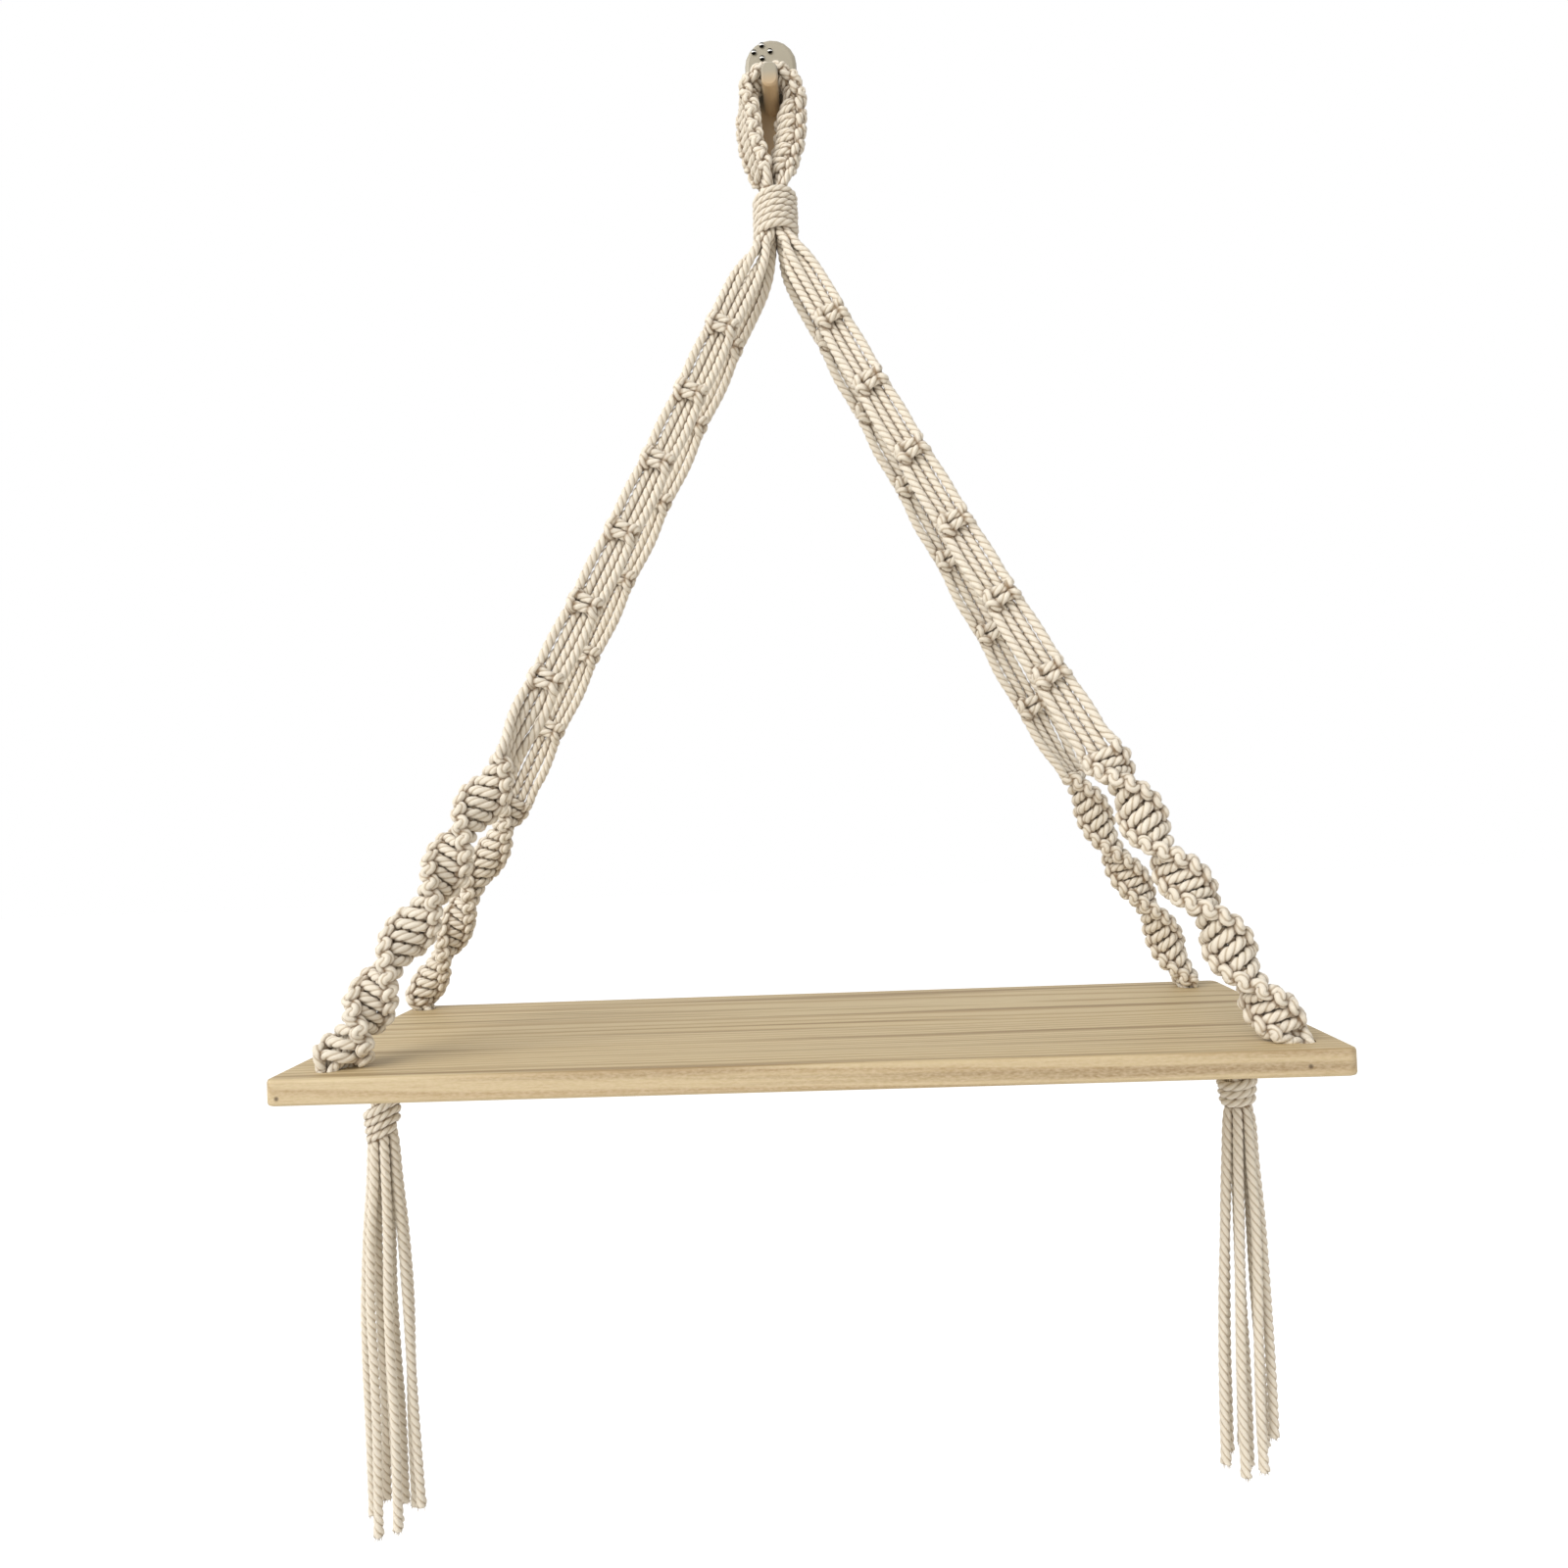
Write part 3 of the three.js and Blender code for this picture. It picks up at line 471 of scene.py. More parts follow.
spaces = {name: StrapSpace(**sizes) for name, sizes in STRAPS.items()}
for name, space in spaces.items():
    print(name, "length", round(space.length), "mm, spiral from", round(space.spiral))

# %% [markdown]
# ## The half knot
# Every knot here is made of half knots. One working cord crosses in front of the fillers, the other
# passes over its tail, goes behind the fillers and comes up through its loop. The pair then tightens. The
# knot looks the same after half a turn about the line towards the viewer, so half of each cord is enough.
# Two half knots that start from opposite sides make a square knot, which lies flat. Half knots that all
# start from the same side make a band that twists by itself.

# %% Lines of the two cords in a half knot
# across, towards the viewer and down, as shares of the knot's half width, half thickness and half height
CROSSING = [(0, 1, 0), (0.35, 0.98, 0.1), (0.62, 0.75, 0.05), (0.84, 0.25, 0.05), (0.95, -0.08, 0.5)]
PASSING = [(0.98, 0.5, -0.75), (0.92, 0.98, -0.45), (0.78, 1.1, 0.1), (0.66, 0.62, 0.7), (0.62, 0.0, 0.8),
           (0.5, -0.62, 0.45), (0.26, -0.96, 0.15), (0, -1, 0)]


def half_knot(middle, height, wide, thick, from_left):
    """Lines of the crossing cord and of the passing cord, each from its start to its end"""
    def turned(points):
        return [(-x, y, -z) for x, y, z in reversed(points)]
    crossing = turned(CROSSING)[:-1] + CROSSING
    passing = PASSING[:-1] + turned(PASSING)
    way = 1 if from_left else -1
    return [[(way * x * wide, y * thick, middle + z * height / 2) for x, y, z in line]
            for line in (crossing, passing)]


def tie(lines, sides, knots):
    """Adds half knots to two working cords' lines. sides says which cord is at the left."""
    for *shape, from_left in knots:
        crossing, passing = half_knot(*shape, from_left)
        over = sides if from_left else 1 - sides
        lines[over] += crossing
        lines[1 - over] += passing
        sides = 1 - sides
    return sides


# %% [markdown]
# ## Tying a strap
# The fillers run down the middle of the band. The working cords run beside them and a little in front,
# tie six square knots and then a row of half knots. In the row the band makes half a turn in 29 to 36 mm,
# and less at the foot of one strap, so it looks like a string of beads. At the foot the four cords draw
# together and go down through the hole.

# %% The lines of a strap's four cords
SLOTS = (-2, -1, 1, 2)  # working cord, two fillers, working cord
SPIRAL_STEP, SQUARE_STEP = 4.7, 4.4  # height of a half knot in the spiral and in a square knot
SQUARE_WIDE, SQUARE_THICK = 6.1, 3.5  # half sizes of a square knot
FRONT_SPIRAL, BACK_SPIRAL = (8.5, 3.4), (7.2, 3.2)  # half width and half thickness
FRONT_BOW, BACK_BOW = 0.45, 0.9  # how far the working cords bow out between knots
WORKER_ASIDE, WORKER_FORWARD = 5.8, 0.5
FILLER_ASIDE, FILLER_BEHIND = 2.05, 0.9
KNOT_REACH = 7  # from a square knot's middle to the open stretch
QUARTER, PRESSED = 3.3, 0.72  # a strap's place in the wrap, and how much its cords are pressed together
FOOT_HEIGHT = 2.9  # of the spiral's end over the board
LYING = 2.3  # height of a cord's middle that lies on the board
HOLE_ASIDE = 1.95  # of a cord's middle from the hole's
HOLE_SPOTS = [(x, y) for y in (-HOLE_ASIDE, HOLE_ASIDE) for x in (-HOLE_ASIDE, HOLE_ASIDE)]


def opening(space, slot, s):
    """A cord's place where the strap opens from a square of cords into a flat band"""
    side, works = np.sign(slot), abs(slot) == 2
    opened = math.pi / 2 * ease(s / SPREAD)
    x = side * (CORD_PITCH / 2 + (CORD_PITCH * math.sin(opened) if works else 0))
    y = (side if works else -side) * CORD_PITCH / 2 * math.cos(opened)
    return space.place(x, y, s)


def strap_top(space, slot):
    """Inside the wrap the sixteen cords are pressed together. Below it they part."""
    row = -1 if space.front else 1
    leaves = opening(space, slot, 0)
    offset = leaves - space.leaves
    inside = [from_lean(space.side * QUARTER + PRESSED * offset[0], row * QUARTER + PRESSED * offset[1], z)
              for z in (-1.0, -0.5 * WRAP_HEIGHT, 1.5 - WRAP_HEIGHT)]
    return inside + [opening(space, slot, s) for s in (0.3, 5, 12, 20, 29)]


def spiral_rows(space):
    """Middles of the half knots in the spiral, which ends as a ball resting on the board"""
    foot = (BOARD_TOP + FOOT_HEIGHT - space.top[2]) / space.ahead[2]
    count = round((foot - space.spiral) / SPIRAL_STEP)
    return [space.spiral + (i + 0.5) * (foot - space.spiral) / count for i in range(count)]


def rest_on_board(space, points):
    """Presses a strap's points up where they would run into the board beside the hole"""
    for p in points:
        beside = math.hypot(p[0] - space.hole[0], p[1] - space.hole[1])
        p[2] = max(p[2], BOARD_TOP + LYING * ease((beside - 2) / 2))
    return points


def open_stretch(workers, start, end, bow):
    """Between knots the working cords bow out a little and lie in front of the fillers"""
    for spot in np.arange(start, end, 6):
        aside = WORKER_ASIDE + bow * math.sin(math.pi * (spot - start) / (end - start))
        workers[0].append((-aside, WORKER_FORWARD, spot))
        workers[1].append((aside, WORKER_FORWARD, spot))


def strap_lines(space):
    """The four cords' lines down to the board, and the middles of the spiral's half knots"""
    wide, thick = FRONT_SPIRAL if space.front else BACK_SPIRAL
    bow = FRONT_BOW if space.front else BACK_BOW
    lines = {slot: strap_top(space, slot) for slot in SLOTS}
    workers = [[], []]
    side = 0
    last = SPREAD
    for knot in space.knots:
        open_stretch(workers, last, knot - KNOT_REACH, bow)
        side = tie(workers, side, [(knot - SQUARE_STEP / 2, SQUARE_STEP, SQUARE_WIDE, SQUARE_THICK, True),
                                   (knot + SQUARE_STEP / 2, SQUARE_STEP, SQUARE_WIDE, SQUARE_THICK, False)])
        last = knot + KNOT_REACH
    open_stretch(workers, last, space.spiral - 4, bow)
    rows = spiral_rows(space)
    height = rows[1] - rows[0]
    for i, row in enumerate(rows):
        # the spiral starts and ends a little narrower, and where it is tighter it swells into a ball
        begin, end = ease((i + 1.5) / 3), ease((len(rows) - i - 0.5) / 2.5)
        ball = ease((row - space.tighter) / 12)
        width = wide * (0.82 + 0.18 * begin) * (0.86 + 0.14 * end + 0.16 * ball)
        side = tie(workers, side, [(row, height, width, thick * (1 + 0.4 * ball), True)])
    for index, slot in enumerate((-2, 2)):
        lines[slot] += rest_on_board(space, [space.place(*p) for p in workers[index]])
    for slot in (-1, 1):
        spots = np.arange(SPREAD, rows[-1] + 1, 5)
        behind = [FILLER_BEHIND * ease((s - SPREAD) / 12) * ease((space.spiral - s) / 12) for s in spots]
        filler = [space.place(slot * FILLER_ASIDE, -y, s) for s, y in zip(spots, behind)]
        lines[slot] += rest_on_board(space, filler)
    return lines, rows


# %% Bring the four cords to their hole


def order_round(points, centre):
    """Slots in order of their angle about a centre"""
    return sorted(points, key=lambda k: math.atan2(points[k][1] - centre[1], points[k][0] - centre[0]))


def to_hole(space, lines):
    """Adds the lines' last points: drawn together above the hole and straight down through it"""
    hole_x, hole_y = space.hole
    ends = {slot: line[-1] for slot, line in lines.items()}
    spots = {i: np.array([hole_x + x, hole_y + y, 0]) for i, (x, y) in enumerate(HOLE_SPOTS)}
    spots_round = order_round(spots, np.array([hole_x, hole_y, 0]))
    for slot, spot in zip(order_round(ends, sum(ends.values()) / 4), spots_round):
        x, y, _ = spots[spot]
        lines[slot] += [np.array([x, y, z]) for z in (BOARD_TOP - 0.5, BOARD_TOP - 4, BOARD_UNDER + 3)]


# %% [markdown]
# ## Under the board
# Below each end of the board the front and the back strap's cords turn inwards and lie against the
# board's underside. They meet at the middle, turn down together, and a cord wound round them makes the
# gathering knot. Below the knot the eight cords hang as a tassel.

# %% The cords under the board
GATHER_DEPTH = 12.8  # from the board down to the gathering knots
GATHER_TOP = BOARD_UNDER - GATHER_DEPTH
GATHERS = {"left": np.array([-188.1, -74.5, GATHER_TOP]), "right": np.array([182.25, -77.25, GATHER_TOP])}
UNDER_LEVEL = BOARD_UNDER - 2.25  # middle of a cord that lies against the board
UNDER_WAY = [(0.1, 1), (0.25, 1), (0.42, 0.75), (0.6, 0.35), (0.78, 0.1)]  # share of the way, how flat
TURN_IN, TURN_DROP = 4.6, 3.4  # where the cords turn down, before the knot's middle and below their level
INSIDE_KNOT, INSIDE_DEPTHS = 2.6, (2.5, 9, 16)  # a cord's place before the knot's middle, and down it


def to_gather(space, lines):
    """Adds the way along the underside, first side by side and then as a bundle, and down into the knot"""
    middle = GATHERS["left" if space.side < 0 else "right"]
    hole = np.array([*space.hole, 0])
    inward = unit((middle - hole) * [1, 1, 0])
    aside = np.cross(inward, [0, 0, 1])
    reach = np.linalg.norm((middle - hole)[:2])
    # the cords lie side by side against the board, in the order in which they come out of the hole
    order = sorted(lines, key=lambda slot: (lines[slot][-1] - hole) @ aside)
    ranks = {slot: rank for rank, slot in enumerate(order)}
    for slot, line in lines.items():
        x, y, _ = line[-1] - hole
        out, wide = x * inward[0] + y * inward[1], x * aside[0] + y * aside[1]
        lane = CORD_PITCH * (ranks[slot] - 1.5)
        for share, flat in UNDER_WAY:
            over = flat * lane + (1 - flat) * wide
            up = (1 - flat) * (out - HOLE_ASIDE)
            line.append(hole + inward * reach * share + aside * over + np.array([0, 0, UNDER_LEVEL + up]))
        # each cord turns down at its own place, so the bundle keeps its order round the bend
        turn_in = middle - inward * (TURN_IN + 0.9 * out) + aside * wide
        line.append(np.array([*turn_in[:2], UNDER_LEVEL - TURN_DROP + 0.7 * out]))
        for depth in INSIDE_DEPTHS:
            squeezed = middle - inward * (INSIDE_KNOT + 0.75 * out) + aside * wide * 0.9
            line.append(np.array([*squeezed[:2], GATHER_TOP - depth]))


# %% Lay every strap
strap_cords = {}
for name, space in spaces.items():
    lines, rows = strap_lines(space)
    to_hole(space, lines)
    to_gather(space, lines)
    strap_cords[name] = {slot: lay_cord(line, STRAP_CORD, phase=0.7 * slot) for slot, line in lines.items()}
    print(name, len(rows), "half knots in the spiral")


# %% Cut every strap into its pieces
IN_WRAP, OPEN, SPIRAL, HOLE, UNDER, IN_KNOT = range(6)  # stretches of a strap's cords, from the top down
# piece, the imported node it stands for, its stretch and its cords
STRAP_PIECES = [("filler_left_rope", "filler_left", OPEN, (-1,)),
                ("filler_right_rope", "filler_right", OPEN, (1,)),
                ("working_ropes", "working_cords", OPEN, (-2, 2)),
                ("spiral_ropes", "spiral", SPIRAL, SLOTS), ("hole_ropes", "hole_cords", HOLE, SLOTS)]
BEND_START, BEND_LENGTH, BEND_DROP = 20, 26, 4  # a bend's start, length and drop under the board; no cord is bent by them


def first_ring(cord, test):
    """The first ring whose place passes a test"""
    return next(i for i, p in enumerate(cord["line"]) if test(p))


def stretch_of(names, stretch, slots=SLOTS):
    """One stretch of some straps' cords, as (cord, first ring, last ring) lengths"""
    return [(strap_cords[n][s], *spaces[n].cuts[s][stretch:stretch + 2]) for n in names for s in slots]


for name, space in spaces.items():
    space.cuts = {}
    for slot, cord in strap_cords[name].items():
        leave = first_ring(cord, lambda p: (p - space.top) @ space.ahead > 0.5 and p[2] < space.top[2])
        spiral = first_ring(cord, lambda p: (p - space.top) @ space.ahead > space.spiral - 1)
        hole = first_ring(cord, lambda p: p[2] < BOARD_TOP + 0.9)
        under = first_ring(cord, lambda p: p[2] < BOARD_UNDER + 0.6)
        knot = first_ring(cord, lambda p: p[2] < GATHER_TOP)
        space.cuts[slot] = (0, leave, spiral, hole, under, knot, len(cord["line"]) - 1)
    for piece, node, stretch, slots in STRAP_PIECES:
        rope_piece(f"{name}_{piece}", stretch_of([name], stretch, slots), "hanger", [f"{name}_{node}"])
    below = rope_piece(f"{name}_under_ropes", stretch_of([name], UNDER), None, [f"{name}_under_cords"])
    side = "left" if space.side < 0 else "right"
    inward = unit((GATHERS[side] - np.array([*space.hole, 0])) * [1, 1, 0])
    start = np.array([*space.hole, UNDER_LEVEL]) + inward * BEND_START
    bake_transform(below)
print("cord so far", metres_laid(), "m")

# %% [markdown]
# ## The gathering knots
# A cord is wound three to four times round the eight cords, and its ends are tucked in. Inside it the
# cords are pressed into a round bundle.

# %% Windings
POINTS_TO_TURN = 16
KNOT_RADII, KNOT_PITCH = (6.6, 5.3), 3.55  # of the first and the last turn, and from turn to turn
KNOT_WINDING = {"left": (6.0, 4.0, 0.62), "right": (4.8, 3.3, 0.3)}  # depth of its start, turns and slant


def winding(first_radius, last_radius, pitch, turns, slant):
    """A wound cord's line about the upright through the origin, its turns slanted up to the right"""
    count = round(turns * POINTS_TO_TURN)
    rows = []
    for i in range(count + 1):
        angle = 2 * math.pi * turns * i / count
        radius = first_radius + (last_radius - first_radius) * i / count
        x, y = radius * math.cos(angle), radius * math.sin(angle)
        rows.append((x, y, slant * x - pitch * turns * i / count))

    def tuck(p, way):
        # an end bends in to the middle, a little further down or up
        x, y, z = p
        return [(0.55 * x, 0.55 * y, z - way), (0.82 * x, 0.82 * y, z - 0.4 * way)]
    return tuck(rows[0], 1.2) + rows[1:-1] + tuck(rows[-1], -1.2)[::-1]


for side, place in GATHERS.items():
    names = [n for n, s in spaces.items() if (s.side < 0) == (side == "left")]
    held = stretch_of(names, IN_KNOT)
    rope_piece(f"{side}_knot_held_ropes", held, f"{side}_gather", [f"{side}_knot_core"])
    start, turns, slant = KNOT_WINDING[side]
    turned = winding(*KNOT_RADII, KNOT_PITCH, turns, slant)
    wound = [place + np.array([x, y, z - start]) for x, y, z in turned]
    rope_piece(f"{side}_knot_rope", [whole_cord(lay_cord(wound, WRAP_CORD))], f"{side}_gather",
               [f"{side}_knot_winding"])

# %% [markdown]
# ## The tassels
# Eight cords hang from each gathering knot and end in plain cuts, 130 to 166 mm below it. They are free
# cords, each laid to its own length. A cut end of twisted cotton opens a little, because nothing holds its
# plies, and its fibres stand out like a small brush.

# %% The tassel cords' ways, as in the imported model
TASSEL_RING = 4.9  # seven cords leave the knot on this radius, round one in the middle
RING_ANGLES = [2 * math.pi * i / 7 for i in range(7)]
KNOT_SPOTS = [(0, 0)] + [(round(-TASSEL_RING * math.sin(a), 2), round(TASSEL_RING * math.cos(a), 2))
                         for a in RING_ANGLES]
LEVELS = [-16, -40, -68, -96, -122]
WAYS = {
    "left": [
        [[0.3, 0.2], [0.8, 0.6], [0.2, 0.8], [-0.6, 0.4], [0, 0.2], [0.9, 0.4]],
        [[0.2, 5.6], [-0.6, 6.8], [-1.2, 7.4], [-0.4, 7.6], [0.6, 7.9], [0.8, 8.3]],
        [[-4.5, 3.8], [-6, 4.8], [-6.6, 5.6], [-6.2, 6], [-5.8, 6.2], [-6.6, 6]],
        [[-5.8, -1.3], [-8.2, -1.2], [-10.2, -0.8], [-10.6, -0.6], [-10, -1], [-9.6, -1.2]],
        [[-2.8, -5.2], [-4.6, -6.2], [-5.2, -7], [-4.4, -7.4], [-4.2, -7.2], [-5, -7]],
        [[2.6, -5.1], [3, -6.2], [2.6, -7.2], [3.4, -7.8], [4.2, -7.8], [4, -7.9]],
        [[5.8, -1.4], [7.6, -1.8], [9, -2.2], [10, -2.4], [11, -2.6], [12.6, -2.8]],
        [[4.6, 3.7], [6.2, 4.6], [7.4, 4.8], [7.2, 4.6], [6.8, 4.4], [7.2, 4.4]],
    ],
    "right": [
        [[-0.6, 0.3], [-1.6, 0.2], [-2.5, -0.3], [-2.2, -0.5], [-2.1, -0.2], [-2.5, 0]],
        [[-0.3, 5.5], [-0.2, 6.4], [-0.4, 7], [-1.2, 7.2], [-1.9, 7.4], [-2.3, 7.6]],
        [[-4.8, 3.7], [-6.2, 4.4], [-7.2, 4.9], [-8.2, 5], [-8.7, 4.8], [-9.1, 4.6]],
        [[-6.1, -1.3], [-8, -1.2], [-10.2, -1.6], [-11.6, -1.8], [-12.3, -1.6], [-12.5, -1.4]],
        [[-3, -5.2], [-4, -6.2], [-5.4, -7.2], [-6.4, -7.4], [-6.7, -7.2], [-6.5, -7.4]],
        [[2.3, -5.1], [2.9, -6], [2, -7], [1, -7.4], [0.7, -7.2], [1.1, -7]],
        [[5.2, -1.4], [6.4, -1.7], [7.2, -1.6], [7.8, -1.4], [7.9, -1.6], [7.5, -1.8]],
        [[4.1, 3.6], [4.4, 4.4], [5, 5.2], [5.8, 5.2], [6.3, 4.8], [6.1, 4.6]],
    ],
}
ENDS = {"left": [165, 161, 158, 160, 166, 163, 156, 160], "right": [142, 138, 139, 141, 143, 141, 130, 137]}
TASSEL_TOP = GATHER_TOP - 25.35  # from here the cords hang free

# %% Cut ends that open into a small brush
FIBRES, FIBRE_RADIUS = 16, 0.22
ROOT = 2.2  # a fibre starts this far inside the cord's end
OPENS_OVER, OPENS_BY = 7, 0.16  # the cord's last length, and the share by which it swells there


def brush(cord):
    """Loose fibre ends round a cord's cut, as one mesh of thin tapered curves"""
    tip, ahead = cord["line"][-1], unit(cord["line"][-1] - cord["line"][-6])
    side = unit(np.cross(ahead, [0, 1, 0.2]))
    other = np.cross(ahead, side)
    curve = bpy.data.curves.new("brush", "CURVE")
    curve.dimensions = "3D"
    curve.bevel_depth = FIBRE_RADIUS * MM
    curve.bevel_resolution = 0
    for _ in range(FIBRES):
        angle, out = random.uniform(0, 2 * math.pi), random.uniform(0.3, 1.6)
        way = side * math.cos(angle) + other * math.sin(angle)
        length, flare = random.uniform(2.0, 4.5), random.uniform(0.2, 0.9)
        spline = curve.splines.new("POLY")
        spline.points.add(3)
        for i, share in enumerate((0, 0.35, 0.7, 1)):
            spot = tip + ahead * (length * share - ROOT) + way * (out + flare * share * share)
            spline.points[i].co = (*(spot * MM), 1)
            spline.points[i].radius = 1 - 0.6 * share
    return swept_mesh(curve)


def open_end(far, length):
    """The swell of a cord's end, as a share of its radius"""
    return 1 + OPENS_BY * np.clip((far - length + OPENS_OVER) / OPENS_OVER, 0, 1) ** 2


for side, place in GATHERS.items():
    for i, way in enumerate(WAYS[side]):
        x, y = KNOT_SPOTS[i]
        inside = [(0.6 * x, 0.6 * y, 12.5), (0.78 * x, 0.78 * y, 6.5), (x, y, 0)]
        below = [(*spot, level) for spot, level in zip(way, [*LEVELS, -ENDS[side][i]])]
        line = [np.array([place[0] + x, place[1] + y, TASSEL_TOP + z]) for x, y, z in inside + below]
        cord = lay_cord(line, TASSEL_CORD, phase=1.3 * i, swell=open_end)
        whole = cut_length(cord, 0, len(cord["line"]) - 1)
        whole.from_mesh(brush(cord))
        replaced = [f"{side}_tassel_cord_{i + 1}"]
        piece = finish_piece(f"{side}_tassel_rope_{i + 1}", whole, f"{side}_tassel", replaced)
        rope_pieces.append(piece)
print("cord so far", metres_laid(), "m")

# %% [markdown]
# ## The wrap
# Below the loop a cord is wound six times round all sixteen cords. The wrap leans out from the wall with
# the loop.

# %% Wrap
WRAP_START = 1.6  # below the wrap's top
turned = winding(first_radius=9.1, last_radius=9.2, pitch=3.5, turns=6.15, slant=0.22)
wound = [from_lean(x, y, z - WRAP_START) for x, y, z in turned]
rope_piece("wrap_rope", [whole_cord(lay_cord(wound, WRAP_CORD))], "hanger", ["top_wrap_winding"])
rope_piece("wrap_held_ropes", stretch_of(spaces, IN_WRAP), "hanger", ["top_wrap_core"])

# %% [markdown]
# ## The hanging loop
# The loop is a thick band of square knots tied over six fillers, folded over the hook's peg. Below the
# peg the soft band has turned a little: the left arm shows its outside and the right arm its inside, and
# both narrow the eye between them.

# %% The band's space
LOOP_LINE = [(0.55, 0.024), (0.9, 0.1), (1, 0.22), (1, 0.355),
             (0.94, 0.51), (0.82, 0.665), (0.63, 0.815), (0.5, 0.92)]  # shares of LOOP_HALF and LOOP_DROP
LOOP_HALF, HALF_AT_WRAP = 11.5, 5.5
LEFT_ARM, RIGHT_ARM = (math.radians(-28), 0.9), (math.radians(50), 3.2)  # turn, and way towards the eye
DRAWN_IN = 1.6  # way towards the eye above the wrap
down = [(LOOP_HALF * x, LOOP_TOP - LOOP_DROP * z) for x, z in LOOP_LINE] + [(HALF_AT_WRAP, LOOP_BOTTOM)]
ring_points = [(-x, z) for x, z in reversed(down)] + [(0, LOOP_TOP)] + down
loop_line, loop_far = smooth_line([(x, lean_at(z), z) for x, z in ring_points], 0.25)
LOOP_LENGTH = loop_far[-1]


def band_thickness(s):
    """Thin over the peg, thicker in the arms and drawn together at the wrap"""
    share = abs(2 * s / LOOP_LENGTH - 1)
    return 8 + 1.4 * ease(share / 0.3) - 0.8 * ease((share - 0.65) / 0.35)


def on_band(x, y, s):
    """x across the band towards the room, y out of the eye, s along it from the left end"""
    share = abs(2 * s / LOOP_LENGTH - 1)
    turned = ease((share - 0.2) / 0.2) * (1 - 0.5 * ease((share - 0.75) / 0.25))
    tilt, closer = LEFT_ARM if 2 * s < LOOP_LENGTH else RIGHT_ARM
    cosine, sine = math.cos(tilt * turned), math.sin(tilt * turned)
    x, y = x * cosine - y * sine, x * sine + y * cosine - closer * turned
    y -= DRAWN_IN * ease((share - 0.55) / 0.35)
    i = int(np.clip(np.searchsorted(loop_far, s), 2, len(loop_line) - 3))
    ahead = unit(loop_line[i + 2] - loop_line[i - 2])
    out = unit(np.cross([0, -1, 0], ahead))
    past = s - loop_far[i]
    return loop_line[i] + ahead * past + np.cross(ahead, out) * x + out * y


# %% Tie the band
BAND_STEP = 4.15  # height of a half knot
BAND_WIDE, BAND_SKIN = 7.6, 1.5  # half the knots' width, and their lines' depth under the band's face
BAND_ENDS = 9  # length left without knots
LOOP_FILLER, FILLER_PLACES, WORKER_PLACE = 3.6, (-3.3, 0, 3.3), 5.4  # thickness, and places across
knots = int((LOOP_LENGTH - BAND_ENDS) / BAND_STEP) // 2 * 2
first = (LOOP_LENGTH - knots * BAND_STEP) / 2
workers, side = [[], []], 0
for i in range(knots):
    middle = first + (i + 0.5) * BAND_STEP
    thick = band_thickness(middle) / 2 - BAND_SKIN
    side = tie(workers, side, [(middle, BAND_STEP, BAND_WIDE, thick, i % 2 == 0)])


def into_wrap(x, y, arm):
    """Where a cord of the band enters the wrap"""
    return [from_lean(arm * (3.0 + 0.5 * y), -0.62 * x, z) for z in (-0.6, -4)]


def band_cord(line, x, y, diameter, **how):
    """A cord of the band, from inside the wrap, round the peg and back"""
    return lay_cord(into_wrap(x, y, -1)[::-1] + line + into_wrap(x, y, 1), diameter, **how)


band_cords = []
for sign, worker in ((-1, workers[0]), (1, workers[1])):
    line = [on_band(*p) for p in worker]
    band_cords.append(band_cord(line, sign * WORKER_PLACE, 0, LOOP_CORD, step=0.8, phase=sign))
rope_piece("loop_knot_ropes", [whole_cord(c) for c in band_cords], "hanger", ["hanging_loop"])

filler_cords = []
for x in FILLER_PLACES:
    for layer in (-1, 1):
        line = [on_band(x, 0.6 * layer, s) for s in np.arange(3.5, LOOP_LENGTH - 3, 4)]
        filler_cords.append(band_cord(line, x, 3 * layer, LOOP_FILLER, phase=x + layer))
rope_piece("loop_filler_ropes", [whole_cord(c) for c in filler_cords], "hanger", ["hanging_loop"])
print("cord in all", metres_laid(), "m;", knots // 2, "square knots in the loop")
bpy.data.objects.remove(cord_section)

# %% [markdown]
# ## Where cords press together
# Between two cords that press on each other hardly any light comes in, so a thin brown line of painted shade
# parts them. A search tree holds the middle lines of all cords. Each point of a cord asks it how near
# another cord is, or another turn of its own, and keeps the answer as an attribute.

# %% Mark the pressed places
SOFT = {"wrap_rope": 0.85, "right_knot_rope": 0.15}  # these coils get only this share of the painted shade between cords
NEIGHBOURS = 7
APART = 6  # from this length on, another place on the same cord counts as another cord
FREE, FADE = 1.36, 0.34  # free this many radii from the other cord's middle, and pressed 0.34 nearer
EYE_SHADE = 0.36  # painted shade at the back of the loop's eye
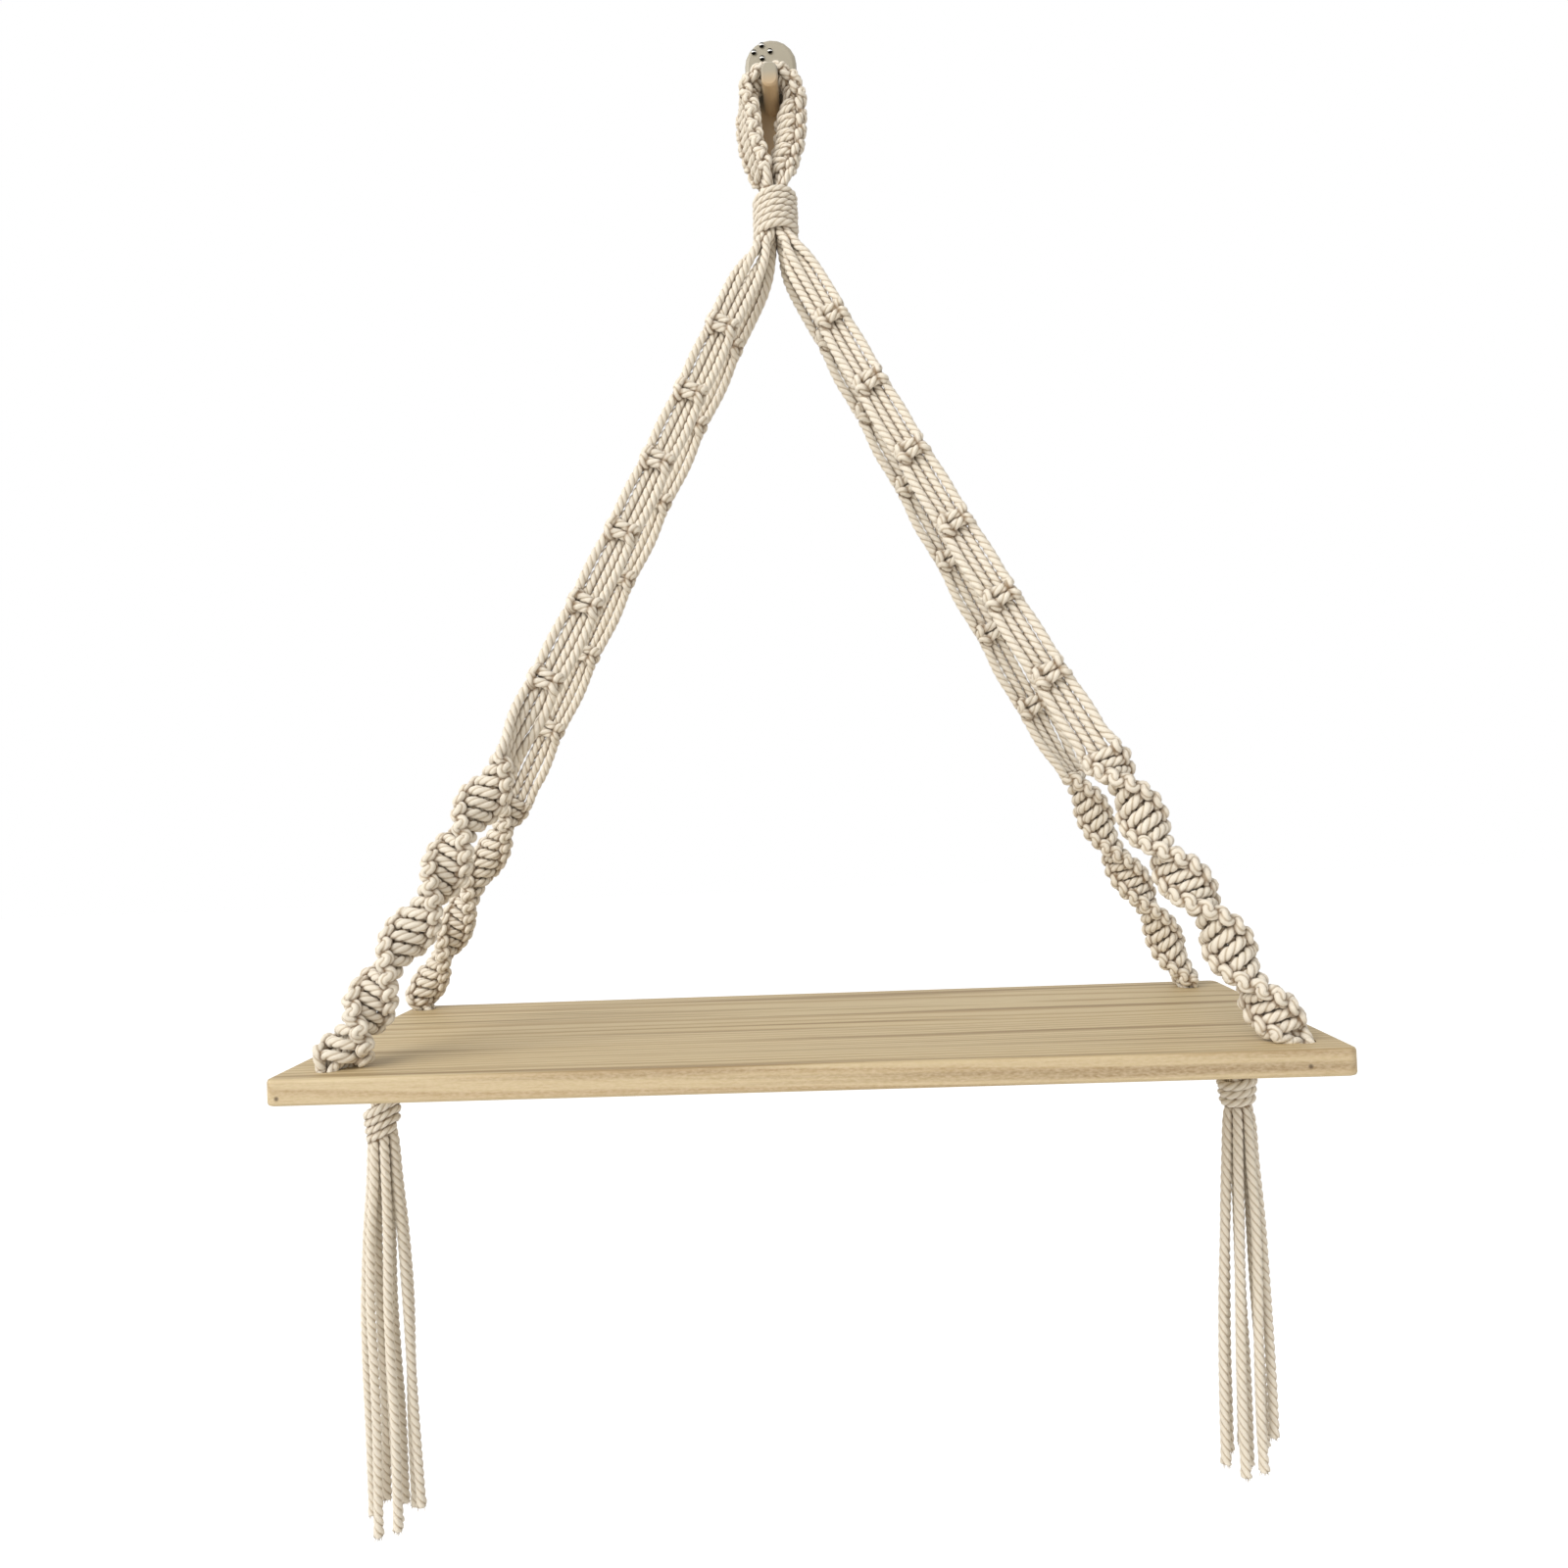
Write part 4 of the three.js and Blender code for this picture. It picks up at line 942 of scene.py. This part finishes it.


def paint_shade_where_pressed(pieces):
    """Gives each point a painted shade by how much it is pressed, and the loop's cords a painted shade at
    the back of its eye
    """
    spots = [(cord, i) for cord in laid_cords for i in range(0, len(cord["line"]), 2)]
    tree = KDTree(len(spots))
    for index, (cord, i) in enumerate(spots):
        tree.insert(MM * cord["line"][i], index)
    tree.balance()
    owner = [(cord["number"], cord["far"][i], MM * cord["radius"]) for cord, i in spots]
    for piece in pieces:
        mesh = piece.data
        count = len(mesh.vertices)
        which, along = np.zeros(count, int), np.zeros(count)
        mesh.attributes["cord"].data.foreach_get("value", which)
        mesh.attributes["along"].data.foreach_get("value", along)
        pressed = np.zeros(count)
        most = SOFT.get(piece.name, 1)
        in_eye = piece.name.startswith("loop_")
        for vert, own, far in zip(mesh.vertices, which.tolist(), along.tolist()):
            for _, index, distance in tree.find_n(vert.co, NEIGHBOURS):
                number, there, radius = owner[index]
                if number != own or abs(there - far) > APART:
                    share = (FREE - distance / radius) / FADE
                    pressed[vert.index] = most * min(1, max(0, share))
                    break
            # painted shade at the back of the loop's eye, deeper towards the wall
            if in_eye:
                x, y, z = vert.co / MM
                deep = ease((y - lean_at(z) + 7) / 11) * ease((9.5 - abs(x)) / 5) * ease((-4 - z) / 6)
                pressed[vert.index] = max(pressed[vert.index], EYE_SHADE * deep)
        mesh.attributes.new("pressed", "FLOAT", "POINT").data.foreach_set("value", pressed)


paint_shade_where_pressed(rope_pieces)
print(len(rope_pieces), "rope pieces marked")

# %% [markdown]
# ## The pine board
# The board is planed pine without varnish. A tree's rings run through it as shells about the heart of the
# log, so the pattern is one solid texture: long lines on the top and the front, arcs on the sawn ends.
# Late wood is darker and narrower than early wood, and fine pores run along the grain.

# %% Pine
RING_WIDTH = 0.0032  # m, from one year's late wood to the next
TWIGS = [(-0.195, -0.152, -0.458), (0.1825, -0.152, -0.457)]  # two small dark knots in the front edge
# noises of the wood: their scales along, across and through the board, and their detail
WOOD_NOISES = {"drift": ((1.6, 14, 14), 2.0), "pore": ((60, 1500, 1500), 3.0), "band": ((4, 45, 45), 2.0),
               "line": ((3.5, 170, 170), 2.0), "torn": ((500, 900, 1400), 2.0)}


def make_pine():
    material, add = new_material("planed_pine")
    where = add("TexCoord").outputs["Object"]
    noise = {}
    for name, (scales, detail) in WOOD_NOISES.items():
        place = add("Mapping", {"Vector": where, "Scale": scales})
        noise[name] = add("TexNoise", {"Vector": place, "Scale": 1.0, "Detail": detail})
    bend = add("Math", [noise["drift"], 0.02], operation="MULTIPLY")
    # the heart of the log lies 44 mm under the board's back half, along X
    spot = add("Mapping", {"Vector": where, "Location": (0, 0.045, 0.505), "Scale": (0.03, 1, 1)})
    radius = add("VectorMath", [spot], operation="LENGTH")
    ring = add("Math", [radius.outputs["Value"], bend], operation="ADD")
    rings = add("Math", [ring, 1 / RING_WIDTH], operation="MULTIPLY")
    year = add("Math", [rings], operation="FRACT")
    late = add("ValToRGB", [year])
    late.color_ramp.elements.new(0.98)
    for element, position, share in zip(late.color_ramp.elements, (0.5, 0.86, 0.98), (0, 1, 0)):
        element.position = position
        element.color = (share, share, share, 1)
    colour = add("MixRGB", [noise["band"], linear("D0C19F"), linear("C6B28A")])
    strength = add("Math", [late, 0.62], operation="MULTIPLY")
    # here and there a few thin darker lines run along the board
    line = add("MapRange", [noise["line"], 0.53, 0.66, 0.0, 0.75])
    fine = add("MapRange", [noise["pore"], 0.5, 0.8, 0.0, 0.45])
    # the sawn edges are paler than the planed faces, and their torn fibres make a fine speckle
    side = add("NewGeometry")
    side = add("SeparateXYZ", [side.outputs["Normal"]])
    side = add("Math", [side.outputs[2]], operation="ABSOLUTE")
    sawn = add("MapRange", [side, 0.75, 0.2])
    torn = add("MapRange", [noise["torn"], 0.3, 0.7, 0.05, 0.5])
    paler = add("Math", [sawn, torn], operation="MULTIPLY")
    for share, shade in (strength, "9C7F55"), (line, "8C7450"), (fine, "A3855A"), (paler, "DCCAB0"):
        colour = add("MixRGB", [share, colour, linear(shade)])
    for twig in TWIGS:
        off = add("VectorMath", [where, twig], operation="DISTANCE")
        dark = add("MapRange", [off.outputs["Value"], 0.0012, 0.0004, 0.0, 0.8])
        colour = add("MixRGB", [dark, colour, linear("4A3826")])
    bump = add("Bump", {"Height": noise["pore"], "Strength": 0.35, "Distance": 0.0002})
    skin = add("BsdfPrincipled", {"Base Color": colour, "Roughness": 0.62, "Normal": bump})
    add("OutputMaterial", [skin])
    return material


def dress(node, material):
    """Gives a kept CAD node its finish"""
    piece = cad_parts[node]
    piece.data.materials.clear()
    piece.data.materials.append(material)


dress("shelf_board", make_pine())

# %% [markdown]
# ## The wall hook and its nails
# The hook is moulded in white ABS, which is smooth with a soft gloss and a very fine grain from the mould.
# Its colour is a grey-beige of painted shade, and a warmer brown of painted shade between the loop's arms.
# Four hardened steel nails hold it, and only their round heads show, each with a painted reflection.

# %% Hook and nails
NAIL_SHANK, NAIL_HEAD = 0.6, 0.9  # mm, the shank's radius and the head's height
HEAD_STEPS = [(0, 1.15), (0.15, 1.3), (0.3, 1.3), (0.3, 0.85), (0.15, 0.35)]  # way out and radius
NUDGE = 1e-7  # m, keeps a step without height apart from the one before


def make_plastic():
    """White plastic painted grey-beige as shade, and painted a warm brown between the loop's arms for the
    shade and the light bounced off the cotton there
    """
    material, add = new_material("moulded_white_abs")
    where = add("TexCoord").outputs["Object"]
    grain = add("TexNoise", {"Vector": where, "Scale": 2500.0, "Detail": 1.0})
    patch = add("TexNoise", {"Vector": where, "Scale": 60.0})
    # painted shade: the white plastic is given this grey-beige, the tone it shows in shade
    plain = add("MixRGB", [patch, linear("A8A292"), linear("A09A8A")])
    place = add("SeparateXYZ", [where])
    aside = add("Math", [place], operation="ABSOLUTE")
    # painted shade and bounce light: warm brown between the loop's arms, below the peg
    between = add("MapRange", [aside, 0.007, 0.011, 1.0, 0.0])
    down = add("MapRange", [place.outputs[2], -0.002, -0.009, 0.0, between])
    colour = add("MixRGB", [down, plain, linear("BFA581")])
    bump = add("Bump", {"Height": grain, "Strength": 0.15, "Distance": 0.00005})
    skin = add("BsdfPrincipled", {"Base Color": colour, "Roughness": 0.35, "IOR": 1.54, "Normal": bump})
    add("OutputMaterial", [skin])
    return material


def make_steel():
    """Hardened steel with a painted reflection on each head: a bright band across the middle, dark above and
    below
    """
    material, add = new_material("hardened_steel_with_painted_reflection")
    where = add("UVMap", uv_map="from_middle")
    place = add("SeparateXYZ", [where])
    off = add("Math", [place.outputs[1]], operation="ABSOLUTE")
    # painted reflection: dark above and below a bright band across the head
    painted_dark_reflection = add("MapRange", [off, 0.2, 0.34])
    colour = add("MixRGB", [painted_dark_reflection, linear("E4E2DC"), linear("100E0C")])
    scratch = add("TexNoise", {"Vector": where, "Scale": 6.0})
    rough = add("MapRange", [scratch, 0.0, 1.0, 0.3, 0.5])
    skin = add("BsdfPrincipled", {"Base Color": colour, "Metallic": 1.0, "Roughness": rough})
    add("OutputMaterial", [skin])
    return material


def make_nail(name):
    """A nail in its CAD node's place: a low domed head, and a shank through the plate"""
    low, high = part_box(name)
    middle = (low + high) / 2
    nail = bmesh.new()
    bmesh.ops.create_circle(nail, cap_ends=True, segments=24, radius=NAIL_SHANK * MM)
    # each step pushes the last face out along the nail and sets its radius
    radius = NAIL_SHANK
    for reach, next_radius in [((high.y - low.y) / MM - NAIL_HEAD, NAIL_SHANK), *HEAD_STEPS]:
        cap = max(nail.faces, key=lambda f: f.calc_center_median().z)
        made = bmesh.ops.extrude_face_region(nail, geom=[cap])["geom"]
        verts = [g for g in made if isinstance(g, bmesh.types.BMVert)]
        bmesh.ops.delete(nail, geom=[cap], context="FACES")
        bmesh.ops.translate(nail, vec=(0, 0, MM * reach + NUDGE), verts=verts)
        bmesh.ops.scale(nail, vec=(next_radius / radius, next_radius / radius, 1), verts=verts)
        radius = next_radius
    face_room = Matrix.Translation((middle.x, high.y, middle.z)) @ Matrix.Rotation(math.pi / 2, 4, "X")
    bmesh.ops.transform(nail, matrix=face_room, verts=nail.verts)
    bmesh.ops.recalc_face_normals(nail, faces=nail.faces)
    from_middle = nail.loops.layers.uv.new("from_middle")
    for face in nail.faces:
        for loop in face.loops:
            loop[from_middle].uv = ((loop.vert.co.x - middle.x) / MM, (loop.vert.co.z - middle.z) / MM)
    finish_piece(f"{name}_steel", nail, "wall_hook", [name], steel)


steel = make_steel()
dress("wall_hook", make_plastic())
for place in ("top", "left", "right", "bottom"):
    make_nail(f"hook_nail_{place}")

# %% [markdown]
# ## Light and background
# The shelf hangs in daylight from a large window at the upper left. A wide soft lamp stands for the
# window, a faint one for the pale wall and floor that send its light back from the lower right, and a
# plain warm surround fills the shade. The background is white where the camera sees it.

# %% Surround, window light and floor
world = bpy.data.worlds.new("surround")
bpy.context.scene.world = world
world.use_nodes = True
world.node_tree.nodes.clear()
add = partial(add_node, world.node_tree)
path = add("LightPath")
seen = path.outputs["Is Camera Ray"]
for ray in ("Is Glossy Ray", "Is Transmission Ray"):
    seen = add("Math", [seen, path.outputs[ray]], operation="MAXIMUM")
fill = add("Background", {"Color": linear("FFFAF2"), "Strength": 0.53})
white = add("Background", {"Color": (1, 1, 1, 1), "Strength": 1.0})
both = add("MixShader", [seen, fill, white])
add("OutputWorld", [both])


def add_window(name, at, aim, size, power, colour):
    light = bpy.data.lights.new(name, "AREA")
    light.shape, light.size, light.energy, light.color = "SQUARE", size, power, linear(colour)[:3]
    lamp = in_scene(name, light)
    lamp.location = at
    lamp.rotation_mode = "QUATERNION"
    lamp.rotation_quaternion = (Vector(aim) - Vector(at)).to_track_quat("-Z", "Y")


add_window("window", (-1.25, -1.35, 0.85), (0, -0.08, -0.35), 2.0, 43, "FFFBF4")
add_window("pale_wall", (0.9, -1.3, -1.0), (0.05, -0.08, -0.4), 1.6, 5, "FFF9EE")

FLOOR_SIZE, FLOOR_LEVEL = 12, -1.35  # m
floor_mesh = bpy.data.meshes.new("floor")
shape = bmesh.new()
bmesh.ops.create_grid(shape, x_segments=1, y_segments=1, size=FLOOR_SIZE)
bmesh.ops.translate(shape, vec=(0, 0, FLOOR_LEVEL), verts=shape.verts)
shape.to_mesh(floor_mesh)
shape.free()
floor = in_scene("floor", floor_mesh)
floor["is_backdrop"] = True
pale, add = new_material("pale_floor")
path = add("LightPath")
matt = add("BsdfDiffuse", {"Color": linear("F2F0EC")})
glow = add("Emission", {"Color": (1, 1, 1, 1), "Strength": 1.3})
share = add("Math", [path.outputs["Is Camera Ray"], 0.75], operation="MULTIPLY")
mixed = add("MixShader", [share, matt, glow])
add("OutputMaterial", [mixed])
floor_mesh.materials.append(pale)
bpy.context.scene.view_settings.view_transform = "Standard"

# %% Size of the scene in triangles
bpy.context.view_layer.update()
meshes = [piece.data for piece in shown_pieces() if piece.type == "MESH"]
print("triangles", sum(len(face.vertices) - 2 for mesh in meshes for face in mesh.polygons))
